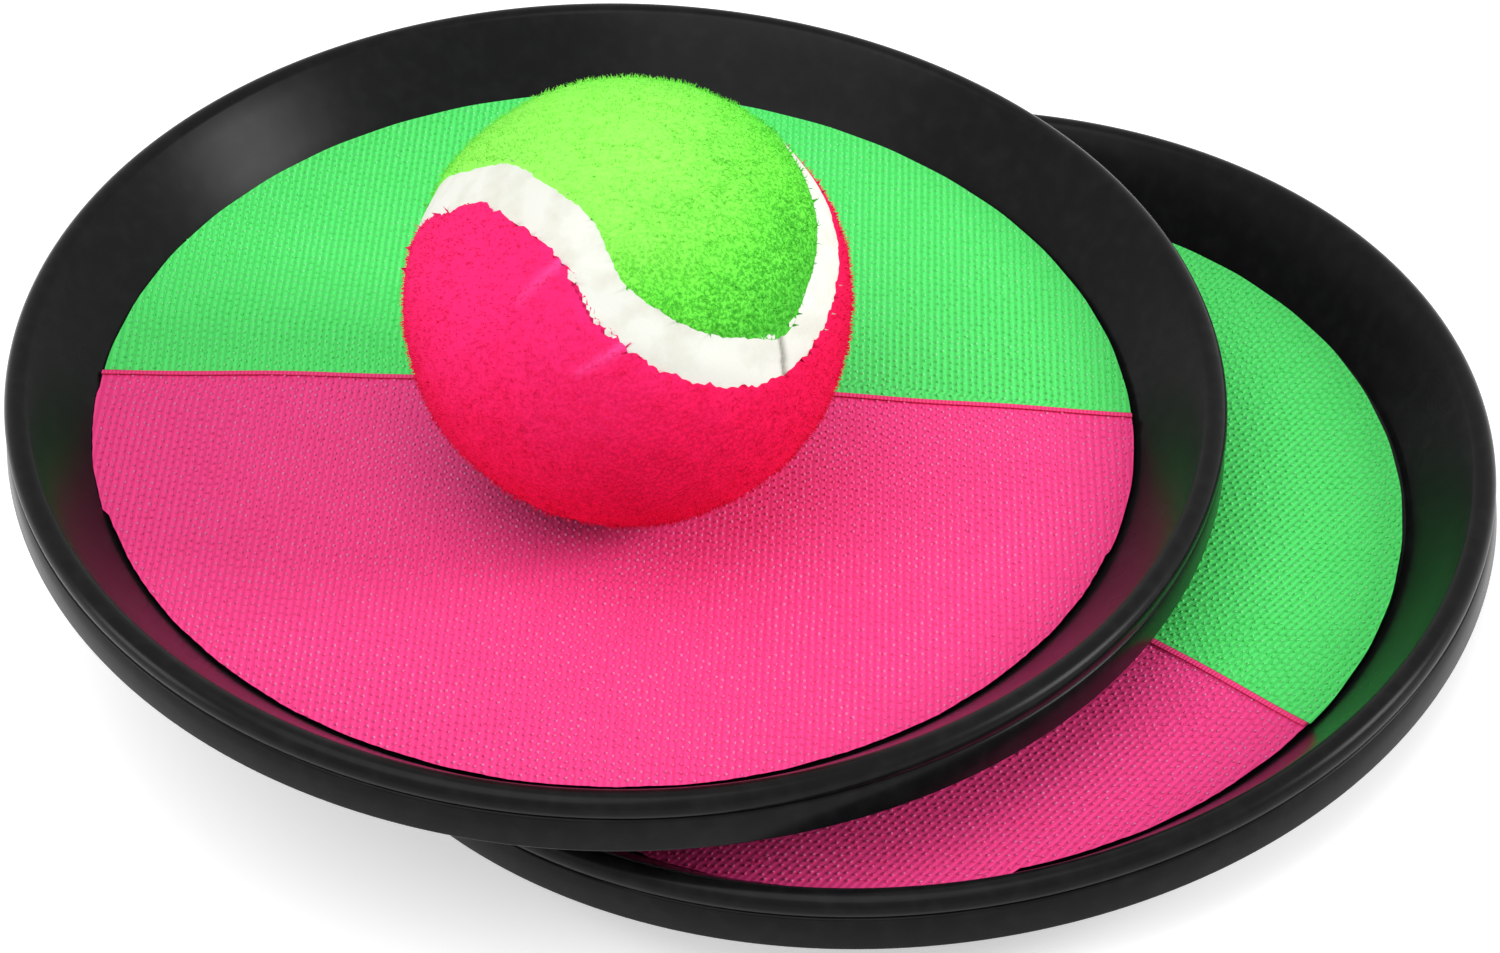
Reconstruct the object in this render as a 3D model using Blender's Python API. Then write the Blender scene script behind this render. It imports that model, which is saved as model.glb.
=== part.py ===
"""Hook and loop catch set: two hand paddles and a felt ball, stacked as they are sold.

Metres, +Z up. The origin is on the table, under the axis of the lower paddle.
Each paddle is a moulded dish faced with two half discs of hook cloth. A webbing
hand strap on its back runs through two moulded bridges and closes on itself.
"""

import math

import bmesh
import bpy
from mathutils import Vector

# Clearance between pieces that touch
GAP = 0.0003

# Faces that meet at more than this angle keep a sharp edge
SHARP_ANGLE = math.radians(35)

# Moulded dish
DISH_RADIUS = 0.0935
LIP_RADIUS = 0.0021
RIM_HEIGHT = 0.0093
GROOVE_DROP = 0.0032
GROOVE_DEPTH = 0.0009
SKIRT_RADIUS = 0.0938
SKIRT_DRAFT = 0.0004
SKIRT_WALL = 0.0017
BOWL_WALL = 0.0018
FLOOR_WALL = 0.0020
CHANNEL_ROOF = 0.0042
HEEL_RADIUS = 0.0010
DISH_STEPS = 88
LIP_SEGMENTS = 7

# Hook cloth
CLOTH_RADIUS = 0.0810
CLOTH_THICKNESS = 0.0015
CLOTH_DEPTH = 0.0097
CLOTH_MARGIN = 0.0004
CLOTH_STEPS = 44

# Strap bridges on the back of the dish
BRIDGE_SPACING = 0.1160
BRIDGE_WIDTH = 0.0060
BRIDGE_BAR = 0.0030
BRIDGE_BEND = 0.0030
BRIDGE_SIDE_PLAY = 0.0015
BRIDGE_ROOT = 0.0010

# Webbing strap and its closure
STRAP_WIDTH = 0.0500
STRAP_THICKNESS = 0.0015
STRAP_FLAT_RUN = 0.0380
STRAP_BLEND = 0.0120
STRAP_PITCH = 0.0036
WRAP_STEPS = 6
SEWN_TAIL = 0.0240
CLOSING_TAIL = 0.0780
PATCH_THICKNESS = 0.0008
PATCH_WIDTH = 0.0460
LOOP_PATCH_SPAN = (-0.0270, 0.0320)
HOOK_PATCH_SPAN = (-0.0200, 0.0240)
HAND_SAG = 0.0102

# Ball
BALL_RADIUS = 0.0330
FELT_THICKNESS = 0.0012
BAND_WIDTH = 0.0072
BAND_THICKNESS = 0.0009
SEAM_WAVE = 0.16
SEAM_ROWS = 30
SEAM_COLUMNS = 10
SEAM_DRIFT = (
    (200, 0.0), (240, -0.0034), (256, 0.0008), (271, 0.0025), (286, -0.0010),
    (319, -0.0010), (342, 0.0012), (356, 0.0015), (400, 0.0),
)
BALL_TURN = (math.radians(-65.1), math.radians(-29.9), math.radians(16.9))

# Places of the pieces in the stack
LOWER_SEAM_TURN = math.radians(-41.5)
LOWER_SEAM_OFFSET = 0.0013
UPPER_SEAM_TURN = math.radians(-1.2)
UPPER_SEAM_OFFSET = 0.0045
UPPER_SHIFT = (-0.0414, 0.0042)
UPPER_LEAN_SIDE = math.radians(6.5)
UPPER_LEAN_FRONT = math.radians(1.3)
BALL_SHIFT = (0.0015, -0.0146)

# Levels inside a paddle, measured up from the underside of its floor
CLOTH_BOTTOM = FLOOR_WALL + GAP
CLOTH_TOP = CLOTH_BOTTOM + CLOTH_THICKNESS
LIP_TOP = CLOTH_TOP + CLOTH_DEPTH
SKIRT_BOTTOM = LIP_TOP - RIM_HEIGHT
BAR_TOP = -(GAP + STRAP_THICKNESS + GAP)
BAR_CENTRE = BAR_TOP - BRIDGE_BAR / 2
STRAP_LEVEL = -(GAP + STRAP_THICKNESS / 2)
WRAP_RADIUS = BRIDGE_BAR / 2 + GAP + STRAP_THICKNESS / 2
WRAP_DEPTH = -(BAR_CENTRE - WRAP_RADIUS - STRAP_THICKNESS / 2)

# Steps from the middle of the strap down through its closure
LOOP_OFFSET = STRAP_THICKNESS / 2 + GAP + PATCH_THICKNESS / 2
HOOK_OFFSET = LOOP_OFFSET + PATCH_THICKNESS + GAP
CLOSING_OFFSET = HOOK_OFFSET + PATCH_THICKNESS / 2 + GAP + STRAP_THICKNESS / 2
SEWN_OFFSET = STRAP_THICKNESS + GAP
FLAT_SAG = WRAP_DEPTH - (-STRAP_LEVEL + CLOSING_OFFSET + STRAP_THICKNESS / 2)

# Colours are linear
BLACK_PLASTIC = ((0.016, 0.016, 0.017, 1.0), 0.38)
GREEN_HOOK = ((0.100, 0.760, 0.150, 1.0), 0.90)
PINK_HOOK = ((0.950, 0.050, 0.220, 1.0), 0.90)
BLACK_WEBBING = ((0.012, 0.012, 0.013, 1.0), 0.85)
BLACK_FASTENER = ((0.018, 0.018, 0.018, 1.0), 0.95)
GREEN_FELT = ((0.420, 0.950, 0.150, 1.0), 0.95)
PINK_FELT = ((0.950, 0.025, 0.100, 1.0), 0.95)
WHITE_BAND = ((0.900, 0.900, 0.870, 1.0), 0.60)
CORE_RUBBER = ((0.300, 0.290, 0.270, 1.0), 0.80)


def clear_scene():
    for item in list(bpy.data.objects):
        bpy.data.objects.remove(item, do_unlink=True)


def make_material(name, finish):
    """A Principled material from a colour and a roughness."""
    colour, roughness = finish
    material = bpy.data.materials.new(name)
    material.use_nodes = True
    shader = material.node_tree.nodes["Principled BSDF"]
    shader.inputs["Base Color"].default_value = colour
    shader.inputs["Roughness"].default_value = roughness
    shader.inputs["Metallic"].default_value = 0.0
    return material


def add_object(name, mesh_data, parent, material=None):
    """Turns a bmesh into a named object under a parent empty."""
    bmesh.ops.recalc_face_normals(mesh_data, faces=mesh_data.faces)
    mesh = bpy.data.meshes.new(name)
    mesh_data.to_mesh(mesh)
    mesh_data.free()
    item = bpy.data.objects.new(name, mesh)
    bpy.context.collection.objects.link(item)
    item.parent = parent
    if material is not None:
        mesh.materials.append(material)
    mesh.shade_smooth()
    mesh.set_sharp_from_angle(angle=SHARP_ANGLE)
    return item


def add_frame(name, location, turn=(0.0, 0.0, 0.0), order="XYZ", parent=None):
    """An empty that carries a group of pieces."""
    frame = bpy.data.objects.new(name, None)
    bpy.context.collection.objects.link(frame)
    frame.parent = parent
    frame.rotation_mode = order
    frame.rotation_euler = turn
    frame.location = location
    return frame


def ease(value):
    """Smooth step from 0 to 1."""
    value = min(max(value, 0.0), 1.0)
    return value * value * (3.0 - 2.0 * value)


def bowl_wall_angle():
    """Slope of the bowl's wall, from the foot at the cloth to its tangent on the lip."""
    foot = Vector((CLOTH_RADIUS + CLOTH_MARGIN, FLOOR_WALL))
    lip = Vector((DISH_RADIUS - LIP_RADIUS, LIP_TOP - LIP_RADIUS))
    reach = lip - foot
    return math.atan2(reach.y, reach.x) + math.asin(LIP_RADIUS / reach.length)


def dish_profile():
    """Half section of the dish as (radius, height), from the axis over the lip and back."""
    slope = bowl_wall_angle()
    foot = CLOTH_RADIUS + CLOTH_MARGIN
    lip_radius_at = DISH_RADIUS - LIP_RADIUS
    lip_height = LIP_TOP - LIP_RADIUS
    back_shift = BOWL_WALL / math.sin(slope)
    edge = SKIRT_WALL / 4

    def back_of_wall(height):
        return foot + (height - FLOOR_WALL) / math.tan(slope) + back_shift

    points = [(0.0, FLOOR_WALL), (foot, FLOOR_WALL)]
    first = slope + math.pi / 2
    last = math.radians(-15)
    for step in range(LIP_SEGMENTS + 1):
        angle = first + (last - first) * step / LIP_SEGMENTS
        points.append((lip_radius_at + LIP_RADIUS * math.cos(angle), lip_height + LIP_RADIUS * math.sin(angle)))
    groove = LIP_TOP - GROOVE_DROP
    roof = LIP_TOP - CHANNEL_ROOF
    points += [
        (DISH_RADIUS - GROOVE_DEPTH, groove),
        (SKIRT_RADIUS - SKIRT_DRAFT, groove - GROOVE_DEPTH / 2),
        (SKIRT_RADIUS, SKIRT_BOTTOM + edge),
        (SKIRT_RADIUS - edge, SKIRT_BOTTOM),
        (SKIRT_RADIUS - SKIRT_WALL + edge / 2, SKIRT_BOTTOM),
        (SKIRT_RADIUS - SKIRT_WALL - SKIRT_DRAFT, roof),
        (back_of_wall(roof), roof),
        (back_of_wall(HEEL_RADIUS), HEEL_RADIUS),
        (back_of_wall(0.0) - HEEL_RADIUS / 2, HEEL_RADIUS / 4),
        (back_of_wall(0.0) - HEEL_RADIUS * 1.5, 0.0),
        (0.0, 0.0),
    ]
    return points


def spin_profile(points, steps):
    """Closed solid of revolution about Z from a section whose ends lie on the axis."""
    mesh_data = bmesh.new()
    verts = [mesh_data.verts.new((radius, 0.0, height)) for radius, height in points]
    edges = [mesh_data.edges.new(pair) for pair in zip(verts, verts[1:])]
    bmesh.ops.spin(
        mesh_data, geom=verts + edges, cent=(0, 0, 0), axis=(0, 0, 1),
        angle=math.tau, steps=steps, use_merge=True,
    )
    bmesh.ops.remove_doubles(mesh_data, verts=mesh_data.verts, dist=1e-6)
    return mesh_data


def sweep_section(stations, section):
    """Closed solid from a section swept along a path in the YZ plane.

    A station is (y, z, heading); a section point is (across along X, out along the path's normal).
    """
    mesh_data = bmesh.new()
    rings = []
    for y, z, heading in stations:
        normal = (-math.sin(heading), math.cos(heading))
        ring = [
            mesh_data.verts.new((across, y + out * normal[0], z + out * normal[1]))
            for across, out in section
        ]
        rings.append(ring)
    count = len(section)
    for ring, following in zip(rings, rings[1:]):
        for place in range(count):
            after = (place + 1) % count
            mesh_data.faces.new((ring[place], ring[after], following[after], following[place]))
    mesh_data.faces.new(rings[0])
    mesh_data.faces.new(list(reversed(rings[-1])))
    return mesh_data


def stadium_section(width, thickness):
    """Flat bar section with fully round edges."""
    radius = thickness / 2
    straight = width / 2 - radius
    quarter = math.pi / 4
    right = [(straight + radius * math.cos(step * quarter), radius * math.sin(step * quarter)) for step in range(-2, 3)]
    return right + [(-across, -out) for across, out in right]


def bridge_path():
    """Staple path of one strap bridge: down a leg, along the bar, up the other leg."""
    leg = STRAP_WIDTH / 2 + BRIDGE_SIDE_PLAY + BRIDGE_BAR / 2
    bend_height = BAR_CENTRE + BRIDGE_BEND
    quarter = math.pi / 2
    stations = [(-leg, BRIDGE_ROOT, -quarter)]
    for side, headings in ((-1, (-quarter, -quarter / 2, 0.0)), (1, (0.0, quarter / 2, quarter))):
        centre = side * (leg - BRIDGE_BEND)
        for heading in headings:
            y = centre + BRIDGE_BEND * math.sin(heading)
            z = bend_height - BRIDGE_BEND * math.cos(heading)
            stations.append((y, z, heading))
    stations.append((leg, BRIDGE_ROOT, quarter))
    return stations


def add_dish(name, parent, material):
    """The moulded dish, with its two strap bridges joined to the underside of the floor."""
    dish = add_object(name, spin_profile(dish_profile(), DISH_STEPS), parent, material)
    for side, label in ((-1, "left"), (1, "right")):
        mesh_data = sweep_section(bridge_path(), stadium_section(BRIDGE_WIDTH, BRIDGE_BAR))
        tool = add_object(f"{name}_{label}_bridge_tool", mesh_data, parent)
        tool.location = (side * BRIDGE_SPACING / 2, 0.0, 0.0)
        tool.hide_render = True
        tool.display_type = "WIRE"
        join = dish.modifiers.new(f"{label} bridge", "BOOLEAN")
        join.operation = "UNION"
        join.solver = "EXACT"
        join.object = tool
    return dish


def add_cloth_half(name, parent, material, side, seam):
    """Half disc of hook cloth on one side of the seam, which runs along X."""
    edge = seam + side * GAP / 2
    start = math.asin(side * edge / CLOTH_RADIUS)
    mesh_data = bmesh.new()
    outline = []
    for step in range(CLOTH_STEPS + 1):
        angle = start + (math.pi - 2 * start) * step / CLOTH_STEPS
        place = (CLOTH_RADIUS * math.cos(angle), side * CLOTH_RADIUS * math.sin(angle), CLOTH_BOTTOM)
        outline.append(mesh_data.verts.new(place))
    sheet = mesh_data.faces.new(outline)
    grown = bmesh.ops.extrude_face_region(mesh_data, geom=[sheet])
    raised = [item for item in grown["geom"] if isinstance(item, bmesh.types.BMVert)]
    bmesh.ops.translate(mesh_data, verts=raised, vec=(0.0, 0.0, CLOTH_THICKNESS))
    return add_object(name, mesh_data, parent, material)


def strap_height(x, sag, lean):
    """Level of the middle of the strap's hand run; it hangs deeper where the paddle leans up."""
    inner = (BRIDGE_SPACING - BRIDGE_WIDTH) / 2
    share = ease((inner - abs(x)) / (inner - STRAP_FLAT_RUN / 2))
    return STRAP_LEVEL - share * (sag - lean * x)


def below_strap(x, offset, sag, lean):
    """Point at a distance below the hand run, square to it."""
    step = 0.0001
    slope = (strap_height(x + step, sag, lean) - strap_height(x - step, sag, lean)) / (2 * step)
    size = math.hypot(1.0, slope)
    return (x + offset * slope / size, strap_height(x, sag, lean) - offset / size)


def span(first, last):
    """Evenly spaced values from first to last, about STRAP_PITCH apart."""
    count = max(2, round(abs(last - first) / STRAP_PITCH))
    return [first + (last - first) * step / count for step in range(count + 1)]


def strap_path(sag, lean):
    """Middle line of the webbing: sewn tail, left wrap, hand run, right wrap, closing tail."""
    inner = (BRIDGE_SPACING - BRIDGE_WIDTH) / 2
    turn_centre = (BRIDGE_SPACING + BRIDGE_WIDTH - BRIDGE_BAR) / 2

    def tail(x, offset):
        spread = ease(1.0 - (inner - abs(x)) / STRAP_BLEND)
        return below_strap(x, offset + (2 * WRAP_RADIUS - offset) * spread, sag, lean)

    def wrap(side):
        angles = [side * math.pi / 2 - math.pi * step / WRAP_STEPS for step in range(WRAP_STEPS + 1)]
        return [
            (side * turn_centre + WRAP_RADIUS * math.cos(angle), BAR_CENTRE + WRAP_RADIUS * math.sin(angle))
            for angle in angles
        ]

    points = [tail(x, SEWN_OFFSET) for x in span(SEWN_TAIL - inner, -inner)]
    points += wrap(-1)
    points += [below_strap(x, 0.0, sag, lean) for x in span(-inner, inner)]
    points += wrap(1)
    points += [tail(x, CLOSING_OFFSET) for x in span(inner, inner - CLOSING_TAIL)]
    return points


def add_band(name, parent, material, path, width, thickness):
    """A flat band of even thickness along a path in the XZ plane, centred on Y."""
    mesh_data = bmesh.new()
    rows = []
    for place, (x, z) in enumerate(path):
        before = path[max(place - 1, 0)]
        after = path[min(place + 1, len(path) - 1)]
        along = Vector((after[0] - before[0], after[1] - before[1])).normalized()
        normal = Vector((-along.y, along.x)) * thickness / 2
        row = [
            mesh_data.verts.new((x + side * normal.x, -width / 2, z + side * normal.y))
            for side in (1, -1)
        ]
        rows.append(row)
    faces = [
        mesh_data.faces.new((row[0], row[1], following[1], following[0]))
        for row, following in zip(rows, rows[1:])
    ]
    grown = bmesh.ops.extrude_face_region(mesh_data, geom=faces)
    moved = [item for item in grown["geom"] if isinstance(item, bmesh.types.BMVert)]
    bmesh.ops.translate(mesh_data, verts=moved, vec=(0.0, width, 0.0))
    return add_object(name, mesh_data, parent, material)


def add_strap(label, parent, materials, sag, lean):
    """Webbing hand strap with its loop patch and hook patch."""
    add_band(f"{label}_strap", parent, materials["webbing"], strap_path(sag, lean), STRAP_WIDTH, STRAP_THICKNESS)
    for kind, reach, offset in (("loop", LOOP_PATCH_SPAN, LOOP_OFFSET), ("hook", HOOK_PATCH_SPAN, HOOK_OFFSET)):
        path = [below_strap(x, offset, sag, lean) for x in span(reach[0], reach[1])]
        add_band(f"{label}_strap_{kind}_patch", parent, materials["fastener"], path, PATCH_WIDTH, PATCH_THICKNESS)


def add_paddle(label, parent, materials, seam, sag, lean):
    add_dish(f"{label}_dish", parent, materials["plastic"])
    add_cloth_half(f"{label}_green_hook_cloth", parent, materials["green_hook"], 1, seam)
    add_cloth_half(f"{label}_pink_hook_cloth", parent, materials["pink_hook"], -1, seam)
    add_strap(label, parent, materials, sag, lean)


def seam_point(turn):
    """Point of the ball's seam on the unit sphere: the wave of a tennis ball."""
    wide = 1.0 - SEAM_WAVE
    rise = 2.0 * math.sqrt(wide * SEAM_WAVE)
    return Vector((
        wide * math.cos(turn) + SEAM_WAVE * math.cos(3 * turn),
        wide * math.sin(turn) - SEAM_WAVE * math.sin(3 * turn),
        rise * math.sin(2 * turn),
    )).normalized()


def seam_drift(turn):
    """How far the hand-glued band strays from the even wave, towards the green cover when positive."""
    first = SEAM_DRIFT[0][0]
    place = (math.degrees(turn) - first) % 360 + first
    for (start, low), (end, high) in zip(SEAM_DRIFT, SEAM_DRIFT[1:]):
        if start <= place <= end:
            return low + (high - low) * ease((place - start) / (end - start))
    return 0.0


def beside_seam(turn, distance):
    """Point at a distance from the seam, measured at the ball's surface, on the green side when positive."""
    step = 0.001
    along = (seam_point(turn + step) - seam_point(turn - step)).normalized()
    centre = seam_point(turn)
    across = centre.cross(along)
    angle = (distance + seam_drift(turn)) / BALL_RADIUS
    return centre * math.cos(angle) + across * math.sin(angle)


def add_ball_cover(name, parent, material, start, side):
    """One felt cover: rows of arcs drawn across the panel between mirrored points of its edge."""
    edge = side * (BAND_WIDTH / 2 + GAP)
    mesh_data = bmesh.new()
    rows = []
    for row in range(SEAM_ROWS + 1):
        swing = math.pi * row / SEAM_ROWS
        left = beside_seam(start + swing, edge)
        right = beside_seam(start - swing, edge)
        if row in (0, SEAM_ROWS):
            rows.append([mesh_data.verts.new(left * BALL_RADIUS)])
            continue
        arc = [left.slerp(right, column / SEAM_COLUMNS) for column in range(SEAM_COLUMNS + 1)]
        rows.append([mesh_data.verts.new(point * BALL_RADIUS) for point in arc])
    for row, following in zip(rows, rows[1:]):
        for column in range(SEAM_COLUMNS):
            if len(row) == 1:
                mesh_data.faces.new((row[0], following[column], following[column + 1]))
            elif len(following) == 1:
                mesh_data.faces.new((row[column], following[0], row[column + 1]))
            else:
                mesh_data.faces.new((row[column], following[column], following[column + 1], row[column + 1]))
    if mesh_data.faces[:][0].normal.dot(rows[0][0].co) < 0:
        bmesh.ops.reverse_faces(mesh_data, faces=mesh_data.faces)
    cover = add_object(name, mesh_data, parent, material)
    felt = cover.modifiers.new("felt", "SOLIDIFY")
    felt.thickness = FELT_THICKNESS
    felt.offset = -1.0
    felt.use_even_offset = False
    return cover


def add_seam_band(name, parent, material):
    """The white band along the whole seam, slightly sunk between the covers."""
    top = BALL_RADIUS - (FELT_THICKNESS - BAND_THICKNESS)
    bottom = BALL_RADIUS - FELT_THICKNESS
    mesh_data = bmesh.new()
    rings = []
    for step in range(2 * SEAM_ROWS):
        turn = -math.pi / 4 + math.pi * step / SEAM_ROWS
        across = [beside_seam(turn, share * BAND_WIDTH / 2) for share in (-1, 0, 1)]
        ring = [point * top for point in across] + [point * bottom for point in reversed(across)]
        rings.append([mesh_data.verts.new(place) for place in ring])
    for ring, following in zip(rings, rings[1:] + rings[:1]):
        for place in range(len(ring)):
            after = (place + 1) % len(ring)
            mesh_data.faces.new((ring[place], ring[after], following[after], following[place]))
    return add_object(name, mesh_data, parent, material)


def add_ball(parent, materials):
    core = bmesh.new()
    bmesh.ops.create_uvsphere(core, u_segments=32, v_segments=16, radius=BALL_RADIUS - FELT_THICKNESS - GAP)
    add_object("ball_core", core, parent, materials["core"])
    add_ball_cover("ball_green_cover", parent, materials["green_felt"], -math.pi / 4, 1)
    add_ball_cover("ball_pink_cover", parent, materials["pink_felt"], math.pi / 4, -1)
    add_seam_band("ball_seam_band", parent, materials["band"])


def upper_height():
    """Height of the upper paddle's frame, with its strap resting on the lower paddle's cloth."""
    depth = WRAP_DEPTH + HAND_SAG - FLAT_SAG
    upright = math.cos(UPPER_LEAN_SIDE) * math.cos(UPPER_LEAN_FRONT)
    drop = depth * upright + STRAP_WIDTH / 2 * math.sin(UPPER_LEAN_FRONT)
    return WRAP_DEPTH + CLOTH_TOP + GAP + drop


def main():
    clear_scene()
    materials = {
        "plastic": make_material("black plastic", BLACK_PLASTIC),
        "green_hook": make_material("green hook cloth", GREEN_HOOK),
        "pink_hook": make_material("pink hook cloth", PINK_HOOK),
        "webbing": make_material("black webbing", BLACK_WEBBING),
        "fastener": make_material("black fastener", BLACK_FASTENER),
        "green_felt": make_material("green felt", GREEN_FELT),
        "pink_felt": make_material("pink felt", PINK_FELT),
        "band": make_material("white band", WHITE_BAND),
        "core": make_material("core rubber", CORE_RUBBER),
    }
    lower = add_frame("lower_paddle_frame", (0.0, 0.0, WRAP_DEPTH), (0.0, 0.0, LOWER_SEAM_TURN))
    add_paddle("lower", lower, materials, LOWER_SEAM_OFFSET, FLAT_SAG, 0.0)
    place = (UPPER_SHIFT[0], UPPER_SHIFT[1], upper_height())
    lean = add_frame("upper_lean_frame", place, (UPPER_LEAN_FRONT, UPPER_LEAN_SIDE, 0.0), "ZYX")
    upper = add_frame("upper_paddle_frame", (0.0, 0.0, 0.0), (0.0, 0.0, UPPER_SEAM_TURN), parent=lean)
    add_paddle("upper", upper, materials, UPPER_SEAM_OFFSET, HAND_SAG, math.tan(UPPER_LEAN_SIDE))
    ball_place = (BALL_SHIFT[0], BALL_SHIFT[1], CLOTH_TOP + GAP + BALL_RADIUS)
    ball = add_frame("ball_frame", ball_place, BALL_TURN, parent=lean)
    add_ball(ball, materials)


main()
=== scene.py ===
"""Hook and loop catch set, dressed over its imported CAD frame.

Two moulded hand paddles faced with hook cloth lie fanned on a pale floor, and a felt ball rests on the
upper one. Metres, +Z up, in the frame of the CAD model. Each piece is modelled in the plain pose of its
paddle or ball and then carried to its place in the stack, so that every object ends at the origin.
"""

import logging
import math
from collections.abc import Callable, Iterator
from contextlib import contextmanager
from dataclasses import dataclass, field
from enum import Enum

import bmesh
import bpy
import numpy as np
from mathutils import Euler, Matrix, Vector


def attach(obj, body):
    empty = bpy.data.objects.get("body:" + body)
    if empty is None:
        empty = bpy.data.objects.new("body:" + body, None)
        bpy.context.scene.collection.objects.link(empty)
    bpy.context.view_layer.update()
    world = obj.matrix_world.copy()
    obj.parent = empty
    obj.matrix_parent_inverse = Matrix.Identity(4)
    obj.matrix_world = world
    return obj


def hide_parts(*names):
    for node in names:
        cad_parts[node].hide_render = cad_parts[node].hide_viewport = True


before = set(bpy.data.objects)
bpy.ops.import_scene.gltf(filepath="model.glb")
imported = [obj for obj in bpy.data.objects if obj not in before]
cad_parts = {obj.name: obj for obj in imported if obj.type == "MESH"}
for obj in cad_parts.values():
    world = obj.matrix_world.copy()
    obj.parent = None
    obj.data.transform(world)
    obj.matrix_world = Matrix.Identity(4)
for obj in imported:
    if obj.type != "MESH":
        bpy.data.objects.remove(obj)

LOG = logging.getLogger("catch_set")
MM = 0.001
BODY = "root"
CREASE = "creased"
WEAVE = "weave"
WEAVE_UNIT = 10 * MM
TOUCH = 0.001 * MM
Item = bpy.types.Object
Rows = np.ndarray
Pair = tuple[float, float]
Triple = tuple[float, float, float]
Socket = bpy.types.NodeSocket
Material = bpy.types.Material

# Levels inside a paddle, up from the underside of its floor
FLOOR_TOP = 2.0 * MM
SHEET_BOTTOM = 2.3 * MM
HOOK_TOP = 3.8 * MM
LIP_TOP = 13.5 * MM
GAP = 0.3 * MM

# Places of the two paddles and of the ball in the stack
UPPER_LEAN = (
    Matrix.Translation((-0.0414, 0.0042, 0.02746))
    @ Matrix.Rotation(math.radians(1.3), 4, "X")
    @ Matrix.Rotation(math.radians(6.5), 4, "Y")
)
LOWER_POSE = Matrix.Translation((0.0, 0.0, 0.0069)) @ Matrix.Rotation(math.radians(-41.5), 4, "Z")
UPPER_POSE = UPPER_LEAN @ Matrix.Rotation(math.radians(-1.2), 4, "Z")
BALL_POSE = (
    UPPER_LEAN
    @ Matrix.Translation((0.0015, -0.0146, HOOK_TOP + GAP + 0.0330))
    @ Euler((math.radians(-65.1), math.radians(-29.9), math.radians(16.9)), "XYZ").to_matrix().to_4x4()
)


class Side(Enum):
    """Which half of a two-coloured piece is meant, seen from its seam."""

    GREEN = 1
    PINK = -1

    @property
    def label(self) -> str:
        """Lower-case name for piece names."""
        return self.name.lower()


# ---------------------------------------------------------------- bench: modelling helpers


def select_only(item: Item) -> None:
    """Makes one object the only selected and the active one.

    Args:
        item: The object.
    """
    bpy.ops.object.select_all(action="DESELECT")
    item.select_set(True)
    bpy.context.view_layer.objects.active = item


@contextmanager
def editing(item: Item, mode: str = "VERT") -> Iterator[None]:
    """Holds an object in edit mode, with all of it selected at first.

    Args:
        item: The object to edit.
        mode: What is selected: VERT, EDGE or FACE.

    Yields:
        Nothing; the object is in edit mode meanwhile.
    """
    select_only(item)
    bpy.ops.object.mode_set(mode="EDIT")
    bpy.ops.mesh.select_mode(type=mode)
    bpy.ops.mesh.select_all(action="SELECT")
    try:
        yield
    finally:
        bpy.ops.object.mode_set(mode="OBJECT")


def pick(item: Item, kind: str, test: Callable[[object], bool]) -> None:
    """Selects only the parts of an edit mesh that pass a test.

    Args:
        item: The object in edit mode.
        kind: verts, edges or faces.
        test: Says whether a part is wanted.
    """
    bpy.ops.mesh.select_all(action="DESELECT")
    shape = bmesh.from_edit_mesh(item.data)
    for part in getattr(shape, kind):
        if test(part):
            part.select_set(True)
    shape.select_flush_mode()
    bmesh.update_edit_mesh(item.data)


def named(name: str) -> Item:
    """Names the primitive that was just added, and its mesh.

    Args:
        name: The piece's name.

    Returns:
        The object.
    """
    item = bpy.context.object
    item.name = name
    item.data.name = name
    return item


def ring(name: str, corners: int, radius: float) -> Item:
    """Adds an open circle, to draw a shape out of it.

    Args:
        name: The piece's name.
        corners: How many points it has.
        radius: Its radius.

    Returns:
        The circle.
    """
    bpy.ops.mesh.primitive_circle_add(vertices=corners, radius=radius, fill_type="NOTHING")
    return named(name)


def draw_out(*step: float) -> None:
    """Extrudes the selected edges in edit mode.

    Args:
        step: How far the new edges move in X, Y and Z.
    """
    bpy.ops.mesh.extrude_edges_move(TRANSFORM_OT_translate={"value": step})


def finish_with(item: Item, kind: str, **settings: object) -> None:
    """Adds a modifier and applies it.

    Args:
        item: The object.
        kind: The modifier's type.
        settings: Its properties.
    """
    select_only(item)
    modifier = item.modifiers.new(kind.lower(), kind)
    for key, value in settings.items():
        setattr(modifier, key, value)
    bpy.ops.object.modifier_apply(modifier=modifier.name)


def smooth(item: Item, degrees: float) -> None:
    """Smooth shading with sharp edges past an angle.

    Args:
        item: The object.
        degrees: The angle.
    """
    select_only(item)
    bpy.ops.object.shade_smooth_by_angle(angle=math.radians(degrees))


def face_outwards(item: Item) -> None:
    """Merges doubles and turns all faces outwards.

    Args:
        item: The object.
    """
    with editing(item):
        bpy.ops.mesh.remove_doubles(threshold=TOUCH)
        bpy.ops.mesh.normals_make_consistent(inside=False)


def face_up(item: Item) -> None:
    """Turns a thin sheet over where its faces look down.

    Args:
        item: The sheet.
    """
    with editing(item, "FACE"):
        if sum(face.normal.z for face in bmesh.from_edit_mesh(item.data).faces) < 0:
            bpy.ops.mesh.flip_normals()


def close_holes(item: Item) -> None:
    """Closes every open rim with one face.

    Args:
        item: The object.
    """
    with editing(item):
        bpy.ops.mesh.fill_holes(sides=0)
        bpy.ops.mesh.normals_make_consistent(inside=False)


def points_of(item: Item) -> Rows:
    """Reads an object's points.

    Args:
        item: The object, in object mode.

    Returns:
        One row per vertex.
    """
    flat = np.empty(len(item.data.vertices) * 3)
    item.data.vertices.foreach_get("co", flat)
    return flat.reshape(-1, 3)


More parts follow.
